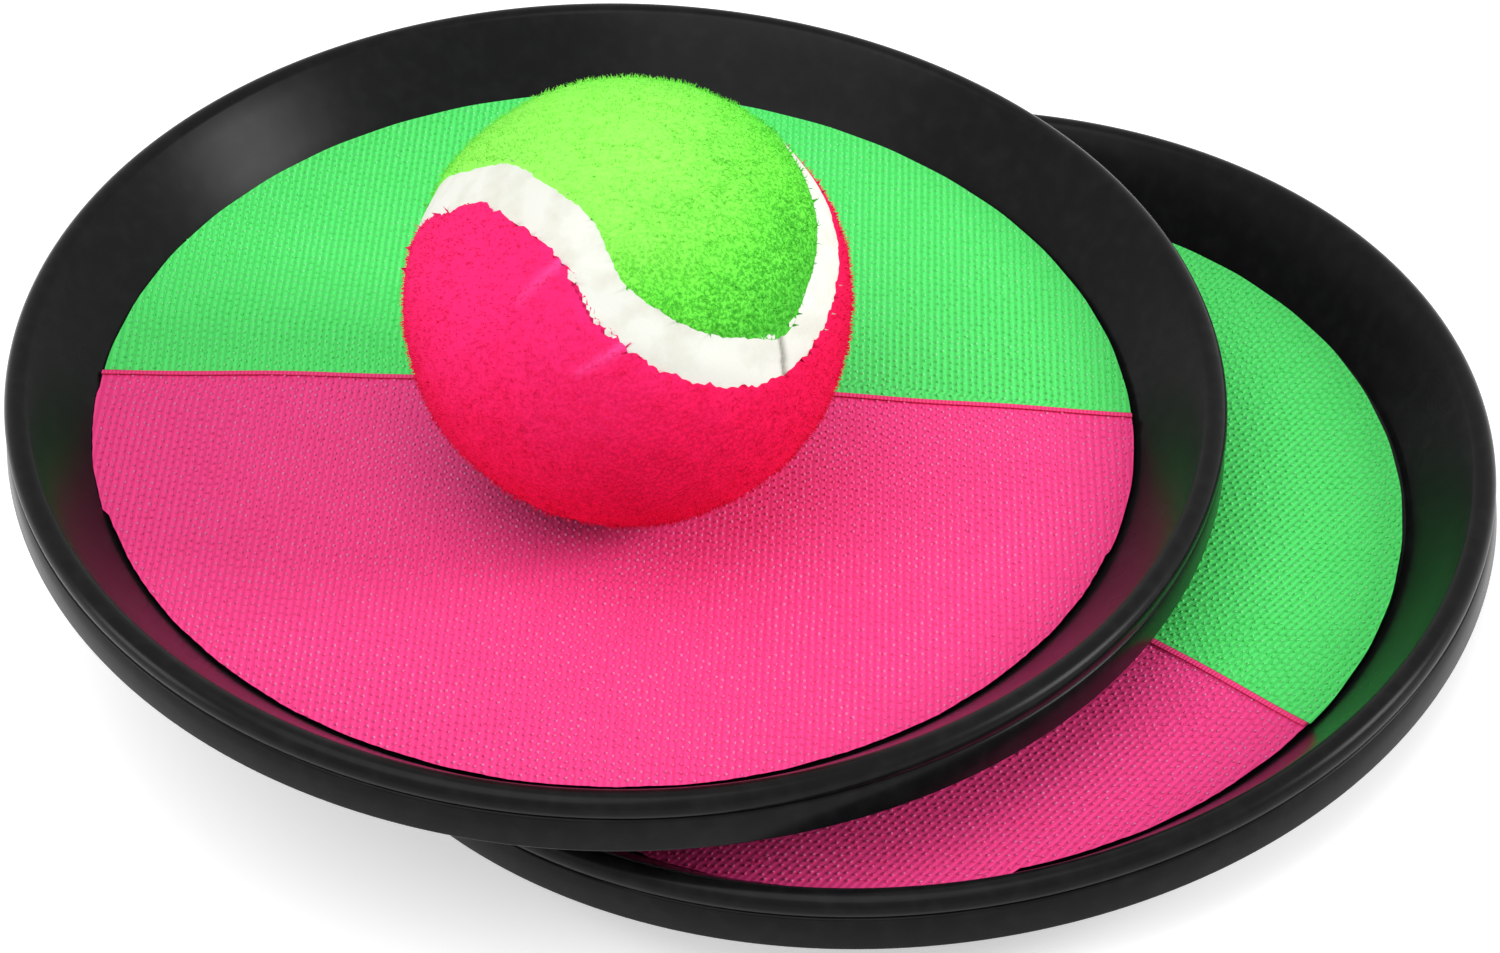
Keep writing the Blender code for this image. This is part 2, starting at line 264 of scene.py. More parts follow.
def set_points(item: Item, points: Rows) -> None:
    """Writes an object's points.

    Args:
        item: The object, in object mode.
        points: One row per vertex.
    """
    item.data.vertices.foreach_set("co", points.ravel())
    item.data.update()


def mark_tint(item: Item, values: Rows) -> None:
    """Keeps how strongly a mesh takes a marked tone at each point, as an attribute that its material reads.

    Args:
        item: The mesh object.
        values: A share from 0 to 1 for each point.
    """
    item.data.attributes.new(CREASE, "FLOAT", "POINT").data.foreach_set("value", values)


def corners_of(item: Item) -> Rows:
    """Reads which vertex each corner of each face uses.

    Args:
        item: The object, in object mode.

    Returns:
        One vertex number per corner.
    """
    corners = np.empty(len(item.data.loops), dtype=np.int32)
    item.data.loops.foreach_get("vertex_index", corners)
    return corners


def weave_map(item: Item, places: Rows) -> None:
    """Lays the UV map that woven finishes read.

    Args:
        item: The object, still in its plain pose.
        places: Across and along in metres, one row per vertex.
    """
    layer = item.data.uv_layers.new(name=WEAVE)
    layer.data.foreach_set("uv", (places[corners_of(item)] / WEAVE_UNIT).ravel())


def unit(rows: Rows) -> Rows:
    """Brings vectors to length 1.

    Args:
        rows: One vector per row.

    Returns:
        The unit vectors.
    """
    return rows / np.linalg.norm(rows, axis=1)[:, None]


def stands(axes: tuple[Rows, ...], size: Rows, places: Rows) -> Rows:
    """Builds the matrices that plant() takes.

    Args:
        axes: Where each copy's X, Y and Z point, one row per copy.
        size: Each copy's scale.
        places: Where each copy stands.

    Returns:
        One 4 by 4 matrix per copy.
    """
    matrices = np.zeros((len(places), 4, 4))
    for column, axis in enumerate(axes):
        matrices[:, :3, column] = axis * size[:, None]
    matrices[:, :3, 3] = places
    matrices[:, 3, 3] = 1.0
    return matrices


def placed(name: str, data: bpy.types.ID) -> Item:
    """Puts some data in the scene as an object.

    Args:
        name: The object's name.
        data: Its mesh, lamp or camera.

    Returns:
        The object.
    """
    item = bpy.data.objects.new(name, data)
    bpy.context.scene.collection.objects.link(item)
    return item


def plant(name: str, pattern: Item, places: Rows) -> Item:
    """Copies one modelled shape to many places, as one mesh, and removes the pattern.

    Args:
        name: The new piece's name.
        pattern: The shape, modelled once.
        places: One 4 by 4 matrix per copy.

    Returns:
        The new object.
    """
    base = points_of(pattern)
    faces = [tuple(face.vertices) for face in pattern.data.polygons]
    turned = np.einsum("nij,pj->npi", places[:, :3, :3], base) + places[:, None, :3, 3]
    corners = [
        [start + corner for corner in face]
        for start in range(0, len(places) * len(base), len(base)) for face in faces
    ]
    mesh = bpy.data.meshes.new(name)
    mesh.from_pydata(turned.reshape(-1, 3).tolist(), [], corners)
    mesh.shade_smooth()
    discard(pattern)
    return placed(name, mesh)


def discard(item: Item) -> None:
    """Removes a pattern that has served.

    Args:
        item: The object.
    """
    bpy.data.objects.remove(item, do_unlink=True)


def copy_of(item: Item, name: str) -> Item:
    """Copies an object with a mesh of its own.

    Args:
        item: The object.
        name: The copy's name.

    Returns:
        The copy.
    """
    mesh = item.data.copy()
    mesh.name = name
    return placed(name, mesh)


def deliver(
    item: Item,
    pose: Matrix,
    material: Material,
    stands_for: tuple[str, ...] = (),
) -> Item:
    """Carries a finished piece to its place, dresses it and ties it to the CAD frame.

    Args:
        item: The piece in its plain pose.
        pose: Its place in the stack.
        material: Its finish.
        stands_for: CAD nodes that it replaces.

    Returns:
        The piece.
    """
    item.data.transform(pose)
    item.data.materials.clear()
    item.data.materials.append(material)
    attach(item, BODY)
    if stands_for:
        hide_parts(*stands_for)
    LOG.info("%s: %d triangles", item.name, sum(len(face.vertices) - 2 for face in item.data.polygons))
    return item


def ease(value: float | Rows) -> float | Rows:
    """Smooth step from 0 to 1.

    Args:
        value: Where it stands.

    Returns:
        The eased value.
    """
    value = np.clip(value, 0.0, 1.0)
    return value * value * (3.0 - 2.0 * value)


def wander(values: Rows, seed: int, waves: tuple[float, ...]) -> Rows:
    """Even random wander along a line, from -1 to 1, the same in each run.

    Args:
        values: Places along the line.
        seed: Picks the wander.
        waves: How many waves per unit, one entry per layer.

    Returns:
        The wander at each place.
    """
    rng = np.random.default_rng(seed)
    total = np.zeros_like(values, dtype=float)
    for wave in waves:
        total += np.sin(values * wave * math.tau + rng.uniform(0, math.tau)) * rng.uniform(0.6, 1.0)
    return total / len(waves)


# ---------------------------------------------------------------- finishes


def linear(colour: str) -> tuple[float, float, float, float]:
    """Turns an sRGB hex colour to linear.

    Args:
        colour: Six hex digits after a hash.

    Returns:
        Red, green, blue and 1.
    """
    shares = [int(colour[place:place + 2], 16) / 255 for place in (1, 3, 5)]
    light = [share / 12.92 if share <= 0.04045 else ((share + 0.055) / 1.055) ** 2.4 for share in shares]
    return (*light, 1.0)


def plug(tree: bpy.types.NodeTree, node: bpy.types.Node, sockets: dict[str | int, object]) -> None:
    """Fills a node's inputs.

    Args:
        tree: The node tree.
        node: The node.
        sockets: What the inputs hold: a value, or an output to link.
    """
    for key, value in sockets.items():
        if isinstance(value, Socket):
            tree.links.new(value, node.inputs[key])
        else:
            node.inputs[key].default_value = value


def add_node(
    tree: bpy.types.NodeTree,
    kind: str,
    settings: dict[str, object] | None = None,
    sockets: dict[str | int, object] | None = None,
) -> bpy.types.Node:
    """Adds a node with its settings and links.

    Args:
        tree: The node tree.
        kind: The node's type, without the leading ShaderNode.
        settings: Its properties.
        sockets: What its inputs hold.

    Returns:
        The node.
    """
    node = tree.nodes.new(f"ShaderNode{kind}")
    for key, value in (settings or {}).items():
        setattr(node, key, value)
    plug(tree, node, sockets or {})
    return node


class Recipe:
    """A Principled material in the making, with the steps that the finishes share."""

    def __init__(self, name: str, woven: bool = False) -> None:
        """Starts the material on Object coordinates, or on the piece's own weave map.

        Args:
            name: The material's name.
            woven: Whether it lies on the weave map.
        """
        self.material = bpy.data.materials.new(name)
        self.material.use_nodes = True
        self.tree = self.material.node_tree
        self.shader = self.tree.nodes["Principled BSDF"]
        self.place = (
            add_node(self.tree, "UVMap", {"uv_map": WEAVE}).outputs["UV"] if woven
            else add_node(self.tree, "TexCoord").outputs["Object"]
        )

    def noise(self, size: float, detail: float, **more: float) -> Socket:
        """Noise over the piece.

        Args:
            size: Its cells' size in metres.
            detail: How many finer layers it has.
            more: Its other inputs.

        Returns:
            The noise.
        """
        sockets = {"Vector": self.place, "Scale": 1 / size, "Detail": detail, **more}
        return add_node(self.tree, "TexNoise", None, sockets).outputs["Fac"]

    def bands(self, direction: str, scale: float, **more: float) -> Socket:
        """Soft bands over the piece.

        Args:
            direction: X, Y or DIAGONAL.
            scale: The wave's scale.
            more: Its other inputs.

        Returns:
            The bands.
        """
        sockets = {"Vector": self.place, "Scale": scale, **more}
        return add_node(self.tree, "TexWave", {"bands_direction": direction}, sockets).outputs["Fac"]

    def times(self, value: Socket, factor: float | Socket, plus: Socket | None = None) -> Socket:
        """Multiplies a value, and adds another to it where one is given.

        Args:
            value: The value.
            factor: What it is multiplied by.
            plus: What is added.

        Returns:
            The result.
        """
        operation = "MULTIPLY" if plus is None else "MULTIPLY_ADD"
        sockets = {0: value, 1: factor} | ({} if plus is None else {2: plus})
        return add_node(self.tree, "Math", {"operation": operation}, sockets).outputs["Value"]

    def span(self, value: Socket, low: float, high: float, first: float, last: float) -> Socket:
        """Maps one range to another, and holds it there.

        Args:
            value: The value.
            low: Start of its range.
            high: End of its range.
            first: What the start becomes.
            last: What the end becomes.

        Returns:
            The mapped value.
        """
        return add_node(self.tree, "MapRange", None, {
            "Value": value, "From Min": low, "From Max": high, "To Min": first, "To Max": last,
        }).outputs["Result"]

    def ramp(self, value: Socket, stops: dict[float, str]) -> Socket:
        """Maps a value to colours.

        Args:
            value: What picks the colour.
            stops: A hex colour at each position.

        Returns:
            The colour.
        """
        node = add_node(self.tree, "ValToRGB", None, {"Fac": value})
        elements = node.color_ramp.elements
        while len(elements) < len(stops):
            elements.new(0.5)
        for element, (position, colour) in zip(elements, sorted(stops.items())):
            element.position = position
            element.color = linear(colour)
        return node.outputs["Color"]

    def marked_tone(self, tone: Socket, colour: str) -> Socket:
        """Mixes a colour in where the mesh is marked by its creased attribute.

        Args:
            tone: The plain colour.
            colour: The marked one, in hex.

        Returns:
            The colour.
        """
        mark = add_node(self.tree, "Attribute", {"attribute_name": CREASE}).outputs["Fac"]
        return self.blend(mark, tone, colour)

    def blend(self, share: Socket, tone: Socket, colour: str) -> Socket:
        """Mixes a colour in by a share.

        Args:
            share: How much of it.
            tone: The colour below.
            colour: The colour to mix in, in hex.

        Returns:
            The colour.
        """
        sockets = {0: share, 6: tone, 7: linear(colour)}
        return add_node(self.tree, "Mix", {"data_type": "RGBA"}, sockets).outputs[2]

    def bump(self, height: Socket, strength: float, distance: float, sunk: bool = False) -> None:
        """Gives the surface a fine relief.

        Args:
            height: The relief.
            strength: How much of it shows.
            distance: Its height in metres.
            sunk: Whether high values lie low.
        """
        sockets = {"Strength": strength, "Distance": distance, "Height": height}
        node = add_node(self.tree, "Bump", {"invert": sunk}, sockets)
        plug(self.tree, self.shader, {"Normal": node.outputs["Normal"]})

    def finish(self, tone: Socket, **values: object) -> Material:
        """Sets the shader.

        Args:
            tone: Its colour.
            values: Its other inputs, with underscores for the spaces in their names.

        Returns:
            The material.
        """
        named_values = {key.replace("_", " "): value for key, value in values.items()}
        plug(self.tree, self.shader, {"Base Color": tone, **named_values})
        return self.material


def weave_scale(pitch: float) -> float:
    """Scale that gives bands of one pitch on the weave map.

    Args:
        pitch: From one band to the next, in metres.

    Returns:
        The scale of the wave.
    """
    return WEAVE_UNIT / pitch / 20 * math.tau


@dataclass(frozen=True)
class MouldedPolypropylene:
    """Black polypropylene from a lightly sparked mould: satin, with soft broad highlights."""

    name: str = "moulded black polypropylene"
    colour: str = "#111112"
    rubbed: str = "#19191A"
    roughness: Pair = (0.22, 0.32)
    specular: float = 0.09
    grain: float = 0.25 * MM
    scuff: float = 3 * MM
    flow: float = 30 * MM

    def build(self) -> Material:
        """Builds the material: mould grain as bump, slow flow marks as roughness.

        Returns:
            The material.
        """
        recipe = Recipe(self.name)
        recipe.bump(recipe.noise(self.grain, 2.0), 0.12, 0.03 * MM)
        return recipe.finish(
            recipe.ramp(recipe.noise(self.scuff, 6.0), {0.45: self.colour, 0.75: self.rubbed}),
            Roughness=recipe.span(recipe.noise(self.flow, 3.0), 0.0, 1.0, *self.roughness),
            Specular_IOR_Level=self.specular,
        )


@dataclass(frozen=True)
class HookGround:
    """Woven nylon ground of hook cloth: ribs across the tape, with a fine thread grain."""

    name: str
    thread: str
    valley: str
    rib: float = 1.07 * MM
    thread_pitch: float = 0.35 * MM

    def build(self) -> Material:
        """Builds the material from ribs that its threads cross, with painted shade: a darker colour in the
        low valleys between the ribs.

        Returns:
            The material.
        """
        recipe = Recipe(self.name, woven=True)
        ribs = recipe.bands("X", weave_scale(self.rib), Distortion=0.4, Detail=2.0)
        threads = recipe.bands("Y", weave_scale(self.thread_pitch), Distortion=1.0)
        recipe.bump(recipe.times(threads, 0.35, ribs), 0.45, 0.15 * MM)
        # Painted shade: the colour darkens in the low valleys between the ribs.
        return recipe.finish(
            recipe.ramp(ribs, {0.1: self.valley, 0.8: self.thread}),
            Roughness=0.75, Sheen_Weight=0.3, Sheen_Tint=linear(self.thread),
        )


@dataclass(frozen=True)
class HookFilament:
    """Dyed nylon monofilament, cut to hooks: semi-gloss, so its tops glint, and a little clear."""

    name: str
    colour: str
    painted_glint: str
    patch: float = 9 * MM
    speck: float = 1.3 * MM
    clearness: float = 0.15

    def build(self) -> Material:
        """Builds the material, with slow dye variation, and single hooks painted paler as painted glints.

        Returns:
            The material.
        """
        recipe = Recipe(self.name)
        dye = recipe.times(recipe.noise(self.patch, 3.0), 0.4)
        # Painted glints: a fine speckle lifts single hooks towards the paler tone.
        share = recipe.times(recipe.noise(self.speck, 1.0), 0.6, dye)
        tone = recipe.ramp(share, {0.42: self.colour, 0.60: self.painted_glint})
        material = recipe.finish(tone, Roughness=0.42, Specular_IOR_Level=0.4)
        through = add_node(recipe.tree, "BsdfTranslucent", None, {"Color": tone})
        both = add_node(recipe.tree, "MixShader", None, {
            0: self.clearness, 1: recipe.shader.outputs[0], 2: through.outputs[0],
        })
        plug(recipe.tree, recipe.tree.nodes["Material Output"], {"Surface": both.outputs[0]})
        return material


@dataclass(frozen=True)
class BrushedFelt:
    """Brushed polyester felt: a matt nap with painted light, paler towards the top and a little to the left
    and deeper towards the bottom, over slow random patches of the nap's lie.
    """

    name: str
    shaded_tone: str
    colour: str
    lit_tone: str
    pit: str
    marked_tone: str
    low: float
    high: float
    upward: Triple = (-0.2, 0.0, 0.98)
    patch: float = 9 * MM
    tuft: float = 0.55 * MM

    def build(self) -> Material:
        """Builds the material: painted light from above as slow colour over random patches of the nap's
        lie, and its tufts as fine bump, with painted shade in their hollows.

        Returns:
            The material.
        """
        recipe = Recipe(self.name)
        tuft = recipe.noise(self.tuft, 4.0, Roughness=0.7)
        # Painted light: the colour runs from a shaded tone low on the ball to a lit tone at the top, a
        # little to the left.
        height = add_node(recipe.tree, "VectorMath", {"operation": "DOT_PRODUCT"}, {
            0: recipe.place, 1: self.upward,
        }).outputs["Value"]
        light_from_above = recipe.span(height, self.low, self.high, -0.15, 0.85)
        light_and_lie = recipe.times(recipe.noise(self.patch, 3.0), 0.3, light_from_above)
        nap = recipe.ramp(light_and_lie, {0.15: self.shaded_tone, 0.5: self.colour, 0.85: self.lit_tone})
        # Painted shade: a darker colour fills the hollows of the tuft relief, most of all low on the ball
        # where the painted light is darkest.
        depth = recipe.span(tuft, 0.42, 0.58, 1.0, 0.0)
        hollow_shade_share = recipe.span(light_and_lie, 0.30, 0.95, 1.0, 0.10)
        tone = recipe.blend(recipe.times(depth, hollow_shade_share), recipe.marked_tone(nap, self.marked_tone), self.pit)
        recipe.bump(tuft, 0.6, 0.2 * MM)
        return recipe.finish(
            tone, Roughness=0.95, Specular_IOR_Level=0.1, Sheen_Weight=0.5, Sheen_Tint=linear(self.colour))


@dataclass(frozen=True)
class BandTape:
    """White coated tape of the ball's seam: flat and smooth, with faint grime and a fine cloth grain."""

    name: str = "white coated tape"
    colour: str = "#E7E8DF"
    grime: str = "#D6D6C6"
    joint: str = "#8C8C80"

    def build(self) -> Material:
        """Builds the material from two noises, grime and grain, with a grey joint.

        Returns:
            The material.
        """
        recipe = Recipe(self.name)
        tone = recipe.ramp(recipe.noise(5 * MM, 8.0), {0.25: self.grime, 0.55: self.colour})
        recipe.bump(recipe.noise(0.5 * MM, 2.0), 0.4, 0.08 * MM)
        return recipe.finish(recipe.marked_tone(tone, self.joint), Roughness=0.6)


@dataclass(frozen=True)
class BlackWebbing:
    """Woven black polypropylene webbing: a close basket of flat yarns that catch the light in turn."""

    name: str = "woven black webbing"
    yarn: str = "#1D1D1F"
    gap: str = "#08080A"
    pitch: float = 2.0 * MM

    def build(self) -> Material:
        """Builds the weave from two sets of bands on the strap's own map, with painted shade: a darker
        colour in the gaps between the yarns.

        Returns:
            The material.
        """
        recipe = Recipe(self.name, woven=True)
        scale = weave_scale(self.pitch)
        weave = recipe.times(recipe.bands("DIAGONAL", scale), recipe.bands("Y", scale))
        recipe.bump(weave, 0.8, 0.25 * MM)
        # Painted shade: the colour darkens where the weave's relief lies low, between the yarns.
        return recipe.finish(
            recipe.ramp(weave, {0.1: self.gap, 0.6: self.yarn}), Roughness=0.7, Sheen_Weight=0.1)


@dataclass(frozen=True)
class BlackPile:
    """Closure tape of the strap: black nylon loops or hooks so fine that they read as a dull grainy nap."""

    name: str
    colour: str
    tip: str
    pile: float

    def build(self) -> Material:
        """Builds the nap from a fine cell pattern, with painted light: a paler colour on the raised tips
        and a deeper one in the low places between them.

        Returns:
            The material.
        """
        recipe = Recipe(self.name)
        cells = add_node(recipe.tree, "TexVoronoi", None, {
            "Vector": recipe.place, "Scale": 1 / self.pile,
        }).outputs["Distance"]
        recipe.bump(cells, 0.9, 0.2 * MM, sunk=True)
        # Painted light: the paler colour sits on the raised tips of the relief, the deeper one between
        # them.
        return recipe.finish(recipe.ramp(cells, {0.1: self.tip, 0.6: self.colour}), Roughness=0.9)


@dataclass(frozen=True)
class CoreRubber:
    """Grey natural rubber of the ball's core, dusty from its mould."""

    name: str = "grey moulded rubber"
    colour: str = "#8E8C86"
    dust: str = "#A9A7A0"

    def build(self) -> Material:
        """Builds the material with dust in slow patches.

        Returns:
            The material.
        """
        recipe = Recipe(self.name)
        dust = recipe.ramp(recipe.noise(6 * MM, 5.0), {0.4: self.colour, 0.7: self.dust})
        return recipe.finish(dust, Roughness=0.8)


@dataclass(frozen=True)
class StitchThread:
    """Black bonded polyester thread: tight and a little shiny."""

    name: str = "black sewing thread"
    colour: str = "#242427"
    twist: float = 0.5 * MM

    def build(self) -> Material:
        """Builds the material, with the twist as fine bands.

        Returns:
            The material.
        """
        recipe = Recipe(self.name)
        recipe.bump(recipe.bands("DIAGONAL", 0.3 / self.twist), 0.5, 0.05 * MM)
        return recipe.finish(linear(self.colour), Roughness=0.45)


def entry(finish: type, *values: object) -> object:
    """A palette entry of one finish.

    Args:
        finish: The finish's class.
        values: Its fields.

    Returns:
        The dataclass field, which builds the material when the palette is made.
    """
    return field(default_factory=lambda: finish(*values).build())


def two_colours(finish: type, green: tuple, pink: tuple) -> object:
    """A palette entry of one finish in both colours.

    Args:
        finish: The finish's class.
        green: Its fields for the green side.
        pink: Its fields for the pink side.

    Returns:
        The dataclass field, which builds a material for each side.
    """
    return field(default_factory=lambda: {
        Side.GREEN: finish(*green).build(), Side.PINK: finish(*pink).build(),
    })


@dataclass(frozen=True)
class Palette:
    """All finishes of the set, built once."""

    plastic: Material = entry(MouldedPolypropylene)
    # Ground colours, thread then valley: the valley colour is painted shade in the low places between the
    # ribs, and the whole ground is painted a shade darker than its hooks as painted shade between them.
    ground: dict[Side, Material] = two_colours(
        HookGround,
        ("green hook cloth ground", "#56EE72", "#46D661"),
        ("pink hook cloth ground", "#FF4292", "#EB327F"),
    )
    # Hook colours, plain then paler: the paler tone marks single hooks as painted glints.
    filament: dict[Side, Material] = two_colours(
        HookFilament,
        ("green nylon hooks", "#60F87C", "#88FFA0"),
        ("pink nylon hooks", "#FF4E9E", "#FF82C0"),
    )
    # Felt colours: shaded, middle and lit tones of painted light from above, a darker tone as painted shade
    # in the tuft hollows, a paler tone along the creases, and the heights over which the painted light runs
    # from the shaded tone to the lit one.
    felt: dict[Side, Material] = two_colours(
        BrushedFelt,
        ("lime brushed felt", "#5ACC44", "#78F84C", "#A0FF64", "#34A026", "#C8FF90", 71 * MM, 104 * MM),
        ("pink brushed felt", "#FF144C", "#FF1C5C", "#FF2C7A", "#DA0E48", "#FF50A4", 41 * MM, 97 * MM),
    )
    selvedge: Material = entry(HookGround, "pink selvedge", "#FF4288", "#EC2C70", 0.6 * MM)
    band: Material = entry(BandTape)
    webbing: Material = entry(BlackWebbing)
    # Closure tapes: plain colour, then a paler colour on the raised tips as painted highlight, then the
    # cell size.
    loops: Material = entry(BlackPile, "black loop tape", "#121214", "#222226", 0.5 * MM)
    hooks: Material = entry(BlackPile, "black hook tape", "#0E0E10", "#2C2C30", 0.9 * MM)
    thread: Material = entry(StitchThread)
    rubber: Material = entry(CoreRubber)


# ---------------------------------------------------------------- the moulded dish


@dataclass
class Dish:
    """The moulded dish of a paddle, with its two strap bridges."""

    radius: float = 93.5 * MM
    lip: float = 2.1 * MM
    rim_height: float = 9.3 * MM
    groove_drop: float = 3.2 * MM
    groove_depth: float = 0.9 * MM
    skirt_radius: float = 93.77 * MM
    skirt_draft: float = 0.4 * MM
    skirt_wall: float = 1.7 * MM
    bowl_foot: float = 80.0 * MM
    bowl_wall: float = 1.8 * MM
    channel_roof: float = 4.2 * MM
    roof_round: float = 0.4 * MM
    heel: float = 1.0 * MM
    foot_round: float = 0.5 * MM
    floor_ring: float = 40.0 * MM
    hub: float = 3.0 * MM
    steps: int = 256
    bridge_spacing: float = 116.0 * MM
    bridge_width: float = 6.0 * MM
    bridge_bar: float = 3.0 * MM
    bridge_bend: float = 3.0 * MM
    bridge_leg: float = 28.0 * MM
    bridge_level: float = -3.6 * MM
    bridge_root: float = 1.0 * MM
    bar_corners: int = 24
    bend_steps: int = 8

    def slope(self) -> float:
        """Slope of the bowl's wall, from its foot to its tangent on the lip."""
        reach = Vector((self.radius - self.lip - self.bowl_foot, LIP_TOP - self.lip - FLOOR_TOP))
        return math.atan2(reach.y, reach.x) + math.asin(self.lip / reach.length)

    def arc(self, centre: Pair, radius: float, first: float, last: float, count: int) -> list[Pair]:
        """Points on an arc of the half section.

        Args:
            centre: Radius and height of its centre.
            radius: Its radius.
            first: Start angle in radians.
            last: End angle in radians.
            count: How many steps.

        Returns:
            Pairs of radius and height.
        """
        turns = [first + (last - first) * step / count for step in range(count + 1)]
        across, up = centre
        return [(across + radius * math.cos(turn), up + radius * math.sin(turn)) for turn in turns]

    def profile(self) -> list[Pair]:
        """Half section from the floor's hub, up the bowl, over the lip, round the skirt and back below.

        Returns:
            Pairs of radius and height.
        """
        slope = self.slope()
        edge = self.skirt_wall / 4
        skirt_foot = LIP_TOP - self.rim_height
        groove = LIP_TOP - self.groove_drop
        roof = LIP_TOP - self.channel_roof
        back_shift = self.bowl_wall / math.sin(slope)

        def back(height: float) -> float:
            """Radius of the wall's back at a height."""
            return self.bowl_foot + (height - FLOOR_TOP) / math.tan(slope) + back_shift

        lean = math.pi / 2 - slope
        foot_reach = self.foot_round * math.tan(slope / 2)
        wall_reach = (self.radius - self.lip - self.bowl_foot) * 0.9
        points = [(self.hub, FLOOR_TOP), (self.floor_ring, FLOOR_TOP)]
        foot = (self.bowl_foot - foot_reach, FLOOR_TOP + self.foot_round)
        points += self.arc(foot, self.foot_round, -math.pi / 2, -lean, 5)
        points += [
            (self.bowl_foot + share * wall_reach, FLOOR_TOP + share * wall_reach * math.tan(slope))
            for share in (0.25, 0.5, 0.75)
        ]
        lip = (self.radius - self.lip, LIP_TOP - self.lip)
        points += self.arc(lip, self.lip, slope + math.pi / 2, -0.35, 16)
        points += [
            (self.radius - self.groove_depth * 0.75, groove + 0.35 * MM),
            (self.radius - self.groove_depth, groove + 0.08 * MM),
            (self.radius - self.groove_depth * 0.95, groove - 0.15 * MM),
            (self.skirt_radius - self.skirt_draft - 0.12 * MM, groove - self.groove_depth * 0.42),
            (self.skirt_radius - self.skirt_draft, groove - self.groove_depth * 0.62),
            (self.skirt_radius - self.skirt_draft * 0.5, (groove + skirt_foot) / 2),
        ]
        skirt_back = self.skirt_radius - self.skirt_wall
        points += self.arc((self.skirt_radius - edge, skirt_foot + edge), edge, 0.0, -math.pi / 2, 5)
        points += self.arc((skirt_back + edge, skirt_foot + edge), edge, -math.pi / 2, -math.pi, 4)
        points += [
            (skirt_back - self.skirt_draft, roof - self.roof_round),
            (skirt_back - self.skirt_draft - self.roof_round, roof),
            (back(roof) + self.roof_round, roof),
            (back(roof - self.roof_round), roof - self.roof_round),
            (back(self.heel), self.heel),
            (back(0.0) - self.heel * 0.25, self.heel * 0.5),
            (back(0.0) - self.heel * 0.6, self.heel * 0.18),
            (back(0.0) - self.heel * 1.5, 0.0),
            (self.floor_ring, 0.0),
            (self.hub, 0.0),
        ]
        return points

    def mould(self) -> Item:
        """Draws the half section out ring by ring into the round body.

        Returns:
            The round body, without its bridges.
        """
        (radius, height), *rest = self.profile()
        body = ring("dish_body", self.steps, radius)
        with editing(body):
            bpy.ops.transform.translate(value=(0, 0, height))
            for wide, level in rest:
                draw_out(0, 0, level - height)
                scale = wide / radius
                bpy.ops.transform.resize(value=(scale, scale, 1), center_override=(0, 0, level))
                radius, height = wide, level
        close_holes(body)
        return body

    def bridge(self, side: int) -> Item:
        """Bends one bridge from a flat-oval bar: a leg, the bar under the strap, and the other leg.

        Args:
            side: -1 for the left bridge and 1 for the right one.

        Returns:
            The bridge, its legs' ends inside the floor.
        """
        round_edge = self.bridge_bar / 2
        widen = self.bridge_width / 2 - round_edge
        bar = ring("bridge_bar", self.bar_corners, round_edge)
        points = points_of(bar)
        points[:, 0] += np.sign(np.round(points[:, 0], 7)) * widen
        points[:, 1] -= self.bridge_leg
        points[:, 2] = self.bridge_root
        set_points(bar, points)
        bend_level = self.bridge_level + self.bridge_bend
        bend_side = self.bridge_leg - self.bridge_bend
        with editing(bar):
            draw_out(0, 0, bend_level - self.bridge_root)
            for bend, next_run in (
                (-bend_side, (0, 2 * bend_side, 0)),
                (bend_side, (0, 0, self.bridge_root - bend_level)),
            ):
                bpy.ops.mesh.spin(
                    steps=self.bend_steps, angle=-math.pi / 2, center=(0, bend, bend_level), axis=(1, 0, 0))
                draw_out(*next_run)
            bpy.ops.mesh.select_all(action="SELECT")
            bpy.ops.transform.translate(value=(side * self.bridge_spacing / 2, 0, 0))
        close_holes(bar)
        face_outwards(bar)
        return bar

    def build(self) -> Item:
        """Moulds the whole dish in its plain pose.

        Returns:
            The dish, one closed shell with its bridges.
        """
        body = self.mould()
        for side in (-1, 1):
            bar = self.bridge(side)
            finish_with(body, "BOOLEAN", operation="UNION", solver="EXACT", object=bar)
            discard(bar)
        smooth(body, 40)
        return body


# ---------------------------------------------------------------- hook cloth


